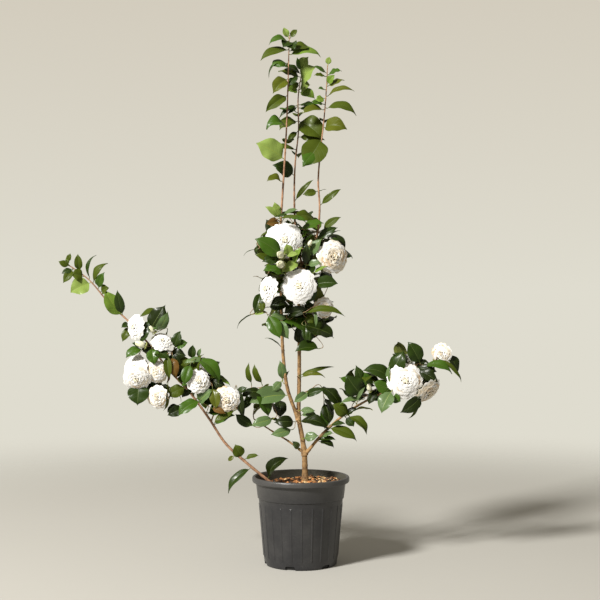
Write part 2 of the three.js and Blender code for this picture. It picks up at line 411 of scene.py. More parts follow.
def new_group(name, takes, gives):
    """An empty shader node group: its tree, what it is given, and the sockets that it gives."""
    tree = bpy.data.node_groups.new(name, "ShaderNodeTree")
    for label, value in takes.items():
        kind = "Vector" if value is None else "Float" if isinstance(value, float) else "Color"
        kind = "NodeSocket" + kind
        socket = tree.interface.new_socket(name=label, in_out="INPUT", socket_type=kind)
        if value is not None:
            socket.default_value = value
    for label, kind in gives.items():
        tree.interface.new_socket(name=label, in_out="OUTPUT", socket_type="NodeSocket" + kind)
    return tree, tree.nodes.new("NodeGroupInput").outputs, tree.nodes.new("NodeGroupOutput")


@functools.lru_cache(maxsize=None)
def mottle_group():
    """Soft uneven patches, used for dust, scuffs and roughness that varies."""
    takes = {"Vector": None, "Scale": 40.0, "Low": 0.35, "High": 0.65}
    tree, given, end = new_group("Mottle", takes, {"Mask": "Float"})
    noise = node(tree, "TexNoise", Vector=given["Vector"], Scale=given["Scale"])
    set_up(noise, Detail=5.0, Roughness=0.62)
    set_up(end, Mask=remap(tree, noise, given["Low"], given["High"]))
    return tree


@functools.lru_cache(maxsize=None)
def bark_group():
    """Bark with fine lengthwise cracks and pale pores."""
    takes = {"Vector": None, "Scale": 1.0, "Light": (0.5, 0.4, 0.3, 1), "Dark": (0.2, 0.1, 0.06, 1)}
    gives = {"Color": "Color", "Height": "Float", "Roughness": "Float"}
    tree, given, end = new_group("Bark", takes, gives)
    place = node(tree, "VectorMath", given["Vector"], operation="SCALE", Scale=given["Scale"])
    stretch = node(tree, "Mapping", Vector=place, Scale=(1.0, 1.0, 0.22))
    cracks = node(tree, "TexNoise", Vector=stretch, Scale=620.0, Detail=6.0)
    set_up(cracks, Roughness=0.68, Distortion=0.6)
    patches = node(tree, "TexNoise", Vector=place, Scale=62.0, Detail=4.0, Roughness=0.6)
    pores = node(tree, "TexVoronoi", Vector=place, Scale=330.0)
    pore_mask = remap(tree, pores, 0.06, 0.16, 1.0, 0.0)
    ridges = node(tree, "Math", cracks, 0.55, patches, operation="MULTIPLY_ADD")
    spread = remap(tree, ridges, 0.55, 0.95)
    colour = node(tree, "Mix", data_type="RGBA", Factor=spread, A=given["Dark"], B=given["Light"])
    set_up(
        end,
        Color=node(tree, "Mix", data_type="RGBA", Factor=pore_mask, A=colour, B=given["Light"]),
        Height=node(tree, "Math", pore_mask, 0.35, cracks, operation="MULTIPLY_ADD"),
        Roughness=remap(tree, cracks, to_low=0.62, to_high=0.86),
    )
    return tree


@functools.lru_cache(maxsize=None)
def vein_group():
    """Side veins that leave the midrib at a slant, on a chart with the midrib at 0.5 across."""
    takes = {"Vector": None, "Count": 9.0, "Slant": 0.5}
    tree, given, end = new_group("Veins", takes, {"Height": "Float"})
    chart = node(tree, "SeparateXYZ", given["Vector"]).outputs
    off_rib = node(tree, "Math", chart["X"], 0.5, operation="SUBTRACT")
    side = node(tree, "Math", off_rib, operation="ABSOLUTE")
    lean = node(tree, "Math", side, given["Slant"], operation="MULTIPLY")
    along = node(tree, "Math", chart["Y"], lean, operation="SUBTRACT")
    many = node(tree, "Math", along, given["Count"], operation="MULTIPLY")
    wave = node(tree, "Math", many, operation="SINE")
    set_up(end, Height=remap(tree, wave, 0.6, 1.0, 1.0, 0.0))
    return tree


def finish(name, colour, roughness, **sockets):
    """A material with its shader and its coordinates ready."""
    made = bpy.data.materials.new(name)
    made.use_nodes = True
    made.diffuse_color = (*colour, 1)
    tree = made.node_tree
    shader = tree.nodes["Principled BSDF"]
    set_up(shader, Base_Color=(*colour, 1), Roughness=roughness, **sockets)
    return made, tree, shader, node(tree, "TexCoord").outputs


def raise_bump(tree, shader, height, distance):
    """Relief of so many metres, raised where the height is 1."""
    set_up(shader, Normal=node(tree, "Bump", Height=height, Distance=distance, Strength=1.0))


def vary_roughness(tree, shader, where, scale, low, high):
    """Roughness that varies between two values in soft patches, whose mask it returns."""
    mask = use_group(tree, mottle_group(), Vector=where, Scale=scale)
    set_up(shader, Roughness=remap(tree, mask, to_low=low, to_high=high))
    return mask


def leaf_finish(name, colour, gloss, veins):
    """Waxy blade: a plain colour, with raised panels between its side veins."""
    made, tree, shader, place = finish(name, colour, 0.4, Specular_IOR_Level=0.16 * gloss)
    set_up(shader, Coat_Weight=0.08 * gloss, Coat_Roughness=0.16)
    vary_roughness(tree, shader, place["Object"], 90.0, 0.5 - 0.2 * gloss, 0.66 - 0.22 * gloss)
    lines = use_group(tree, vein_group(), Vector=place["UV"], Count=40.0, Slant=0.62)
    raise_bump(tree, shader, lines, 0.14 * MM * veins)
    return made


def petal_finish(name, colour):
    """Soft petal with faint lengthwise streaks."""
    made, tree, shader, place = finish(name, colour, 0.5, Sheen_Weight=0.08)
    set_up(shader, Subsurface_Weight=0.35, Subsurface_Scale=0.02)
    set_up(shader, Subsurface_Radius=(1.0, 0.85, 0.6))
    vary_roughness(tree, shader, place["Object"], 120.0, 0.46, 0.6)
    stretch = node(tree, "Mapping", Vector=place["UV"], Scale=(26.0, 2.4, 1.0))
    streaks = node(tree, "TexNoise", Vector=stretch, Scale=1.0, Detail=3.0)
    raise_bump(tree, shader, streaks, 0.3 * MM)
    return made


def bark_finish(name, light, dark, relief, scale=1.0):
    """Barked wood, coloured and raised by the bark group."""
    made, tree, shader, place = finish(name, light, 0.75, Specular_IOR_Level=0.3)
    colours = {"Light": (*light, 1), "Dark": (*dark, 1)}
    bark = use_group(tree, bark_group(), Vector=place["Object"], Scale=scale, **colours).outputs
    set_up(shader, Base_Color=bark["Color"], Roughness=bark["Roughness"])
    raise_bump(tree, shader, bark["Height"], relief)
    return made


def grainy_finish(name, colour, low, high, scale, relief):
    """A plain colour with a grain, for chips, twigs, sepals and soil."""
    made, tree, shader, place = finish(name, colour, high)
    grain = vary_roughness(tree, shader, place["Object"], scale, low, high)
    raise_bump(tree, shader, grain, relief)
    return made


def plastic_finish():
    """Charcoal plastic with a fine grain, scuffed, dusty in patches, and paler up its collar and
    over its lip with a painted highlight.
    """
    colours = settings().pot
    made, tree, shader, place = finish("Pot plastic", colours.plastic, 0.5, Specular_IOR_Level=0.5)
    place = place["Object"]
    squash = node(tree, "Mapping", Vector=place, Scale=(1.0, 1.0, 3.0))
    dust = use_group(tree, mottle_group(), Vector=place, Scale=16.0, Low=0.42, High=0.78)
    scuffs = use_group(tree, mottle_group(), Vector=squash, Scale=130.0, Low=0.56, High=0.74)
    soft = node(tree, "Math", dust, 0.6, operation="MULTIPLY")
    both = node(tree, "Math", scuffs, 0.45, soft, operation="MULTIPLY_ADD")
    height = node(tree, "SeparateXYZ", place).outputs["Z"]
    # painted highlight: lighter from the top of the ribs up the collar and over the lip, towards
    # the dust colour
    painted_highlight = remap(tree, height, 0.15, 0.212, to_high=0.85)
    # dust and scuffs, with the painted highlight added
    dust_and_painted_highlight = node(tree, "Math", both, painted_highlight, operation="ADD")
    ends = {"A": (*colours.plastic, 1), "B": (*colours.dust, 1)}
    set_up(
        shader,
        Base_Color=node(tree, "Mix", data_type="RGBA", Factor=dust_and_painted_highlight, **ends),
        Roughness=remap(tree, both, to_low=0.34, to_high=0.58),
    )
    grain = node(tree, "TexNoise", Vector=place, Scale=1900.0, Detail=2.0)
    raise_bump(tree, shader, grain, 0.12 * MM)
    return made


# --------------------------------------------------------------------------------------------------
# Limbs and the growing rule

RING_GAP = 8 * MM       # CAD rings of one limb lie further apart than this
PLAIN_RING = 9          # a foot that was fitted to its parent has more corners than this
WOOD_STEP = 4 * MM      # spacing of the points that twigs can grow from
TWIG_STEP = 5 * MM      # spacing of the points along a twig
TWIG_TAPER = 0.011      # how much a twig thickens from its tip to its foot, for its length
FOOT_SWELL = 1.08
HANDLE = 0.36           # how far each end of a twig runs straight on, as a share of its length


def limb_line(name):
    """A limb's smooth centre line with its radii, foot first, from the rings of its CAD solid."""
    corners = [corner.co[:] for corner in bpy.data.objects[name].data.vertices]
    spots = np.unique(np.array(corners).round(6), axis=0)
    along = np.linalg.svd(spots - spots.mean(0), full_matrices=False)[2][0]
    spots = spots[np.argsort(spots @ along)]
    rings = np.split(spots, np.flatnonzero(np.diff(spots @ along) > RING_GAP) + 1)
    knots = [[*ring.mean(0), np.linalg.norm(ring - ring.mean(0), axis=1).max()] for ring in rings]
    if knots[1][3] < knots[-2][3]:
        rings.reverse()
        knots.reverse()
    knots = np.array(knots)
    if len(rings[0]) > PLAIN_RING:
        knots[0][3] = 2 * knots[1][3] - knots[2][3]
    # the line begins inside the limb's parent, a little thicker than its first ring
    reach_in = unit(knots[0][:3] - knots[1][:3]) * 2 * knots[0][3]
    foot = np.array([*(knots[0][:3] + reach_in), knots[0][3] * FOOT_SWELL])
    return smooth_line(np.vstack([foot, knots]), WOOD_STEP)


class Wood:
    """Every point of the plant's wood so far, which new twigs grow from."""

    def __init__(self, lines):
        self.points = np.zeros((0, 3))
        self.ways = np.zeros((0, 3))
        self.radii = np.zeros(0)
        for line in lines:
            self.take(line)

    def take(self, line):
        self.points = np.vstack([self.points, line[:, :3]])
        self.ways = np.vstack([self.ways, units(np.gradient(line[:, :3], axis=0))])
        self.radii = np.concatenate([self.radii, line[:, 3]])

    def grow(self, target, way, tip):
        """A twig to a target, from the wood that leads there best, arriving in the given way."""
        gap = target - self.points
        far = np.linalg.norm(gap, axis=1)
        ahead = (gap * self.ways).sum(1) / np.maximum(far, HAIR)
        # near wood is best, more so where it leads that way, unless the target lies almost in it
        best = int(np.argmin(far * (1.35 - 0.5 * ahead) + 4 * self.radii * (far < 3 * self.radii)))
        start, leads, reach = self.points[best], self.ways[best], far[best]
        out = unit(0.45 * leads + 0.55 * gap[best] / max(reach, HAIR))
        handle = HANDLE * reach
        count = max(4, int(reach / TWIG_STEP))
        t = np.linspace(0, 1, count)[:, None]
        curve = (
            start * (1 - t) ** 3
            + 3 * (start + out * handle) * t * (1 - t) ** 2
            + 3 * (target - way * handle) * t**2 * (1 - t)
            + target * t**3
        )
        foot = min(0.8 * self.radii[best], tip + TWIG_TAPER * reach)
        return np.hstack([curve, foot + (tip - foot) * t])


# --------------------------------------------------------------------------------------------------
# Leaves

LEAF_ROWS = np.array(
    [0, 0.03, 0.08, 0.13, 0.19, 0.25, 0.31, 0.37, 0.43, 0.49]
    + [0.55, 0.61, 0.67, 0.73, 0.79, 0.84, 0.89, 0.93, 0.965, 1]
)
LEAF_COLUMNS = np.array([-1, -0.62, -0.25, -0.022, 0.022, 0.25, 0.62, 1])
MIDRIB = 3              # the middle column of faces
DRIP_FROM, DRIP_SPAN = 0.82, 0.18       # the tip droops over this last stretch of the blade
TOOTH = 0.985           # width at the notches of the margin
RIB_DEPTH = 2.2         # the midrib stands out below by so many thicknesses
OUTLINE_AT = np.array([0, 0.06, 0.18, 0.38, 0.58, 0.76, 0.88, 0.95, 1])
OUTLINE = np.array([0.04, 0.34, 0.78, 1, 0.95, 0.68, 0.33, 0.11, 0.02])

TINTS = ("deep", "dark", "mid", "moss", "fresh", "young", "sage", "olive", "withered")
LIGHT_TINTS = ("fresh", "young", "sage")
GLOSS = {"moss": 0.5, "fresh": 0.75, "young": 0.5}
UNDER_DULL, UNDER_FRESH, RIB_PALE, RIB_LIME = range(len(TINTS), len(TINTS) + 4)

# Where the top of a leaf looks: -Y is the front of the plant.
LOOKS = {
    "flat": (0, -0.25, 1),
    "up": (0, -0.8, 0.8),
    "front": (0, -1, 0.35),
    "left": (-1, -0.55, 0.3),
    "right": (1, -0.55, 0.3),
    "half_left": (-0.6, -0.8, 0.3),
    "half_right": (0.6, -0.8, 0.3),
    "bright": (-0.35, -0.9, 0.34),
}


def leaf(pile, base, reach, width, look, arch, colour, draw):
    """One leaf blade: base and reach in metres, look a direction, arch a share of its length."""
    size = np.linalg.norm(reach)
    ahead = reach / size
    top = np.asarray(look, float)
    top = top - ahead * top.dot(ahead)
    if np.linalg.norm(top) < 0.2:
        top = np.cross(ahead, (1.0, 0.2, 0.1))
    top = unit(top)
    side = np.cross(ahead, top)
    s = LEAF_ROWS[:, None]
    sweep, twist = draw.uniform(-0.05, 0.05), draw.uniform(-0.35, 0.35)
    fold, droop = math.tan(draw.uniform(0.2, 0.6)), draw.uniform(0.1, 0.5)
    drip = draw.uniform(0.03, 0.1)
    rise = 4 * arch * s * (1 - s) - drip * np.maximum(0, (s - DRIP_FROM) / DRIP_SPAN) ** 2
    middle = base + reach * s + size * (rise * top + 4 * sweep * s * (1 - s) * side)
    ways = units(np.gradient(middle, LEAF_ROWS, axis=0))
    turned = side + twist * (s - 0.3) * top
    normals = units(np.cross(turned, ways))
    sides = np.cross(ways, normals)
    half = 0.5 * width * eased(OUTLINE_AT, OUTLINE, LEAF_ROWS)[:, None]
    teeth = np.where(np.arange(len(LEAF_ROWS)) % 2 == 0, 1.0, TOOTH)[:, None]
    across = LEAF_COLUMNS[None]
    wide = half * across * np.where(np.abs(across) == 1, teeth, 1)
    swell, pace, shift = draw.uniform(0.04, 0.12), draw.uniform(11, 17), draw.uniform(0, 6)
    waves = swell * np.sin(s * pace + shift * np.sign(across))
    lift = half * (fold * np.abs(across) - droop * across**2) + 0.5 * width * waves * across**2
    blade = middle[:, None] + wide[..., None] * sides[:, None] + lift[..., None] * normals[:, None]
    thick = 0.5 * settings().leaf.thickness
    skin = blade + thick * (1 - across**2)[..., None] * normals[:, None]
    belly = np.where(np.abs(across) < 0.1, RIB_DEPTH, 1.0) * thick
    under = blade - belly[..., None] * normals[:, None]
    light = colour in LIGHT_TINTS
    ribs = np.zeros((len(LEAF_ROWS) - 1, len(LEAF_COLUMNS) - 1), bool)
    ribs[:, MIDRIB] = True
    rib = RIB_LIME if light else RIB_PALE
    tops = np.where(ribs, rib, TINTS.index(colour)).ravel()
    unders = np.where(ribs, rib, UNDER_FRESH if light else UNDER_DULL).ravel()
    pile.add_sheet(skin, under, sheet_faces(*skin.shape[:2]), [tops, unders], across, s)


def leaf_finishes():
    """The tints in order, then the undersides and the ribs."""
    colours = settings().leaf
    made = []
    for name in TINTS:
        gloss, veins = (0.3, 1.6) if name == "withered" else (GLOSS.get(name, 1.0), 1.0)
        made.append(leaf_finish("Leaf " + name, getattr(colours, name), gloss, veins))
    made.append(leaf_finish("Underside dull", colours.under_dull, 0.3, 1.4))
    made.append(leaf_finish("Underside fresh", colours.under_fresh, 0.35, 1.4))
    for name, colour in (("Rib pale", colours.rib_pale), ("Rib lime", colours.rib_lime)):
        made.append(grainy_finish(name, colour, 0.4, 0.6, 300.0, 0.1 * MM))
    return made


# Leaves that stand on a limb: how far along it, reach and width in millimetres, and tint. Where
# the top looks and how far the blade arches come last, where they aren't "front" and 0.1.
LIMB_LEAVES = {
    "whip_left": [
        (0.99, (-11, -3, 22), 16, "young", "front", 0.05),
        (0.99, (15, 3, 20), 15, "moss", "front", 0.05),
        (0.98, (-44, -12, -10), 26, "mid", "up", 0.3),
        (0.98, (-12, -20, -16), 28, "dark"),
        (0.97, (12, -20, -18), 28, "dark"),
        (0.95, (2, 24, 8), 24, "moss", "up"),
        (0.93, (-64, -15, -26), 30, "moss", "up", 0.12),
        (0.92, (46, 10, 8), 30, "moss", "up", 0.2),
        (0.90, (72, 6, -2), 36, "fresh", "up", 0.16),
        (0.86, (-36, -12, -10), 34, "mid", "up", 0.2),
        (0.86, (-44, -10, -34), 12, "dark", "left", 0.3),
        (0.78, (-32, -15, -34), 34, "olive", "front", 0.12),
        (0.80, (6, 34, 14), 24, "moss", "up", 0.12),
        (0.73, (20, 12, 22), 22, "dark", "up", 0.08),
        (0.60, (-6, 40, 4), 26, "mid", "up", 0.14),
        (0.42, (8, 42, 12), 30, "moss", "up", 0.12),
        (0.69, (-48, -18, -38), 29, "moss", "front", 0.15),
        (0.52, (-42, -20, -10), 40, "mid", "up", 0.3),
        (0.34, (-62, -15, 34), 56, "young", "front", 0.06),
        (0.22, (-32, -15, 0), 29, "olive", "up", 0.15),
        (0.05, (33, -8, 11), 15, "sage", "up"),
        (0.02, (-13, -8, 32), 21, "young", "front", 0.05),
        (0.02, (-32, -8, 24), 17, "young"),
    ],
    "whip_middle": [
        # The young tint on the three "bright" leaves here is partly painted light: they stand in
        # the shade of the leaves above.
        (0.96, (12, -24, 28), 36, "young", "bright"),
        (0.96, (-10, -8, 30), 16, "mid"),
        (0.91, (34, -34, 30), 44, "young", "bright"),
        (0.95, (-40, -8, 16), 24, "dark", "up"),
        (0.93, (-50, -10, 12), 30, "moss", "up", 0.12),
        (0.76, (-26, -8, 4), 10, "mid", "up"),
        (0.91, (-28, -8, -22), 22, "moss"),
        (0.87, (-22, -12, -2), 24, "fresh"),
        (0.87, (22, -18, 8), 32, "young", "bright"),
        (0.86, (34, -12, -16), 26, "fresh", "front", 0.12),
        (0.80, (-42, -12, -32), 12, "dark", "front", 0.18),
        (0.80, (44, -12, -10), 22, "mid", "up", 0.12),
        (0.79, (-22, -8, -18), 10, "dark", "front", 0.12),
        (0.78, (26, -14, -6), 16, "mid", "up"),
        (0.72, (-42, -12, -20), 36, "moss", "up", 0.14),
        (0.72, (54, -25, -44), 58, "moss"),
        (0.74, (-6, 40, 10), 26, "moss", "up", 0.12),
        (0.67, (-22, -5, -26), 15, "moss"),
        (0.55, (6, 44, 2), 30, "mid", "up", 0.14),
        (0.64, (60, -14, -8), 28, "moss", "front", 0.15),
        (0.58, (-50, -8, 6), 19, "moss", "up", 0.12),
        (0.45, (-46, -20, 21), 42, "dark", "front", 0.08),
        (0.33, (42, -10, 48), 13, "moss"),
    ],
    "whip_right": [
        (0.99, (4, -3, 18), 15, "young", "front", 0.05),
        (0.96, (-27, -8, 14), 17, "mid", "up"),
        (0.94, (-26, -8, 2), 15, "moss", "up"),
        (0.95, (29, -8, 8), 21, "mid", "up", 0.12),
        (0.90, (15, -12, 17), 20, "fresh"),
        (0.88, (-15, -12, 0), 15, "mid", "up"),
        (0.89, (37, -5, 14), 22, "olive", "up"),
        (0.84, (-20, -10, -6), 20, "fresh"),
        (0.85, (62, -15, 12), 19, "olive", "up", 0.2),
        (0.81, (-30, -10, 4), 18, "mid", "up"),
        (0.79, (70, -15, -18), 32, "moss", "up", 0.22),
        (0.78, (-52, -15, -12), 25, "olive", "up", 0.12),
        (0.72, (4, 40, 6), 26, "moss", "up", 0.12),
        (0.70, (50, -20, -6), 40, "olive", "front", 0.2),
        (0.64, (-42, -24, -64), 64, "moss", "front", 0.08),
        (0.61, (-42, -38, -50), 42, "mid", "front", 0.05),
        (0.52, (-8, 38, 8), 26, "mid", "up", 0.12),
        (0.39, (-32, -8, -8), 20, "moss"),
        (0.39, (12, -4, 2), 6, "dark", "flat", 0.05),
        (0.32, (46, -10, 36), 17, "moss", "front", 0.08),
    ],
    "left_tip_shoot": [
        (0.95, (-22, -8, 10), 17, "moss", "front", 0.05),
        (0.99, (8, -3, 19), 13, "moss", "front", 0.05),
        (0.97, (-4, -10, 12), 10, "young", "front", 0.05),
        (0.93, (-22, -8, -10), 15, "dark"),
        (0.92, (-20, -10, -30), 21, "moss", "front", 0.14),
        (0.87, (-2, -8, 38), 20, "moss"),
        (0.81, (-25, -10, 3), 30, "moss", "front", 0.06),
        (0.77, (14, -8, 54), 13, "dark", "half_left", 0.24),
        (0.74, (-42, -14, -22), 46, "young", "front", 0.05),
        (0.73, (34, -12, 44), 23, "moss", "half_left", 0.24),
        (0.67, (16, -18, 36), 22, "mid"),
        (0.64, (18, -10, 8), 25, "moss", "front", 0.08),
        (0.36, (-36, -18, 56), 40, "fresh", "front", 0.06),
        (0.36, (-9, -22, 56), 24, "dark", "front", 0.08),
        (0.26, (-20, -8, -34), 21, "moss", "front", 0.15),
        (0.27, (-16, -12, -6), 16, "dark", "front", 0.15),
    ],
    "left_bough": [
        (0.07, (46, -5, 46), 30, "deep", "half_left", 0.34),
        (0.17, (-52, -8, -56), 24, "dark", "half_left", 0.14),
        (0.23, (-14, -8, 30), 30, "moss", "front", 0.08),
        (0.23, (32, -5, 8), 14, "moss", "up"),
        (0.27, (-14, 5, -12), 11, "olive"),
        (0.47, (44, -8, 22), 26, "mid", "up"),
    ],
    "left_stem": [
        (0.14, (-88, -20, -16), 46, "sage", "bright", 0.06),
    ],
    "right_stem": [
        (0.04, (34, -10, 4), 20, "sage", "up"),
    ],
    "low_left_bough": [
        (0.14, (-14, -14, 18), 17, "sage"),
    ],
    "right_bough": [
        (0.13, (34, -8, -14), 20, "deep", "up", 0.2),
        (0.15, (26, -12, 10), 18, "sage", "up"),
    ],
}

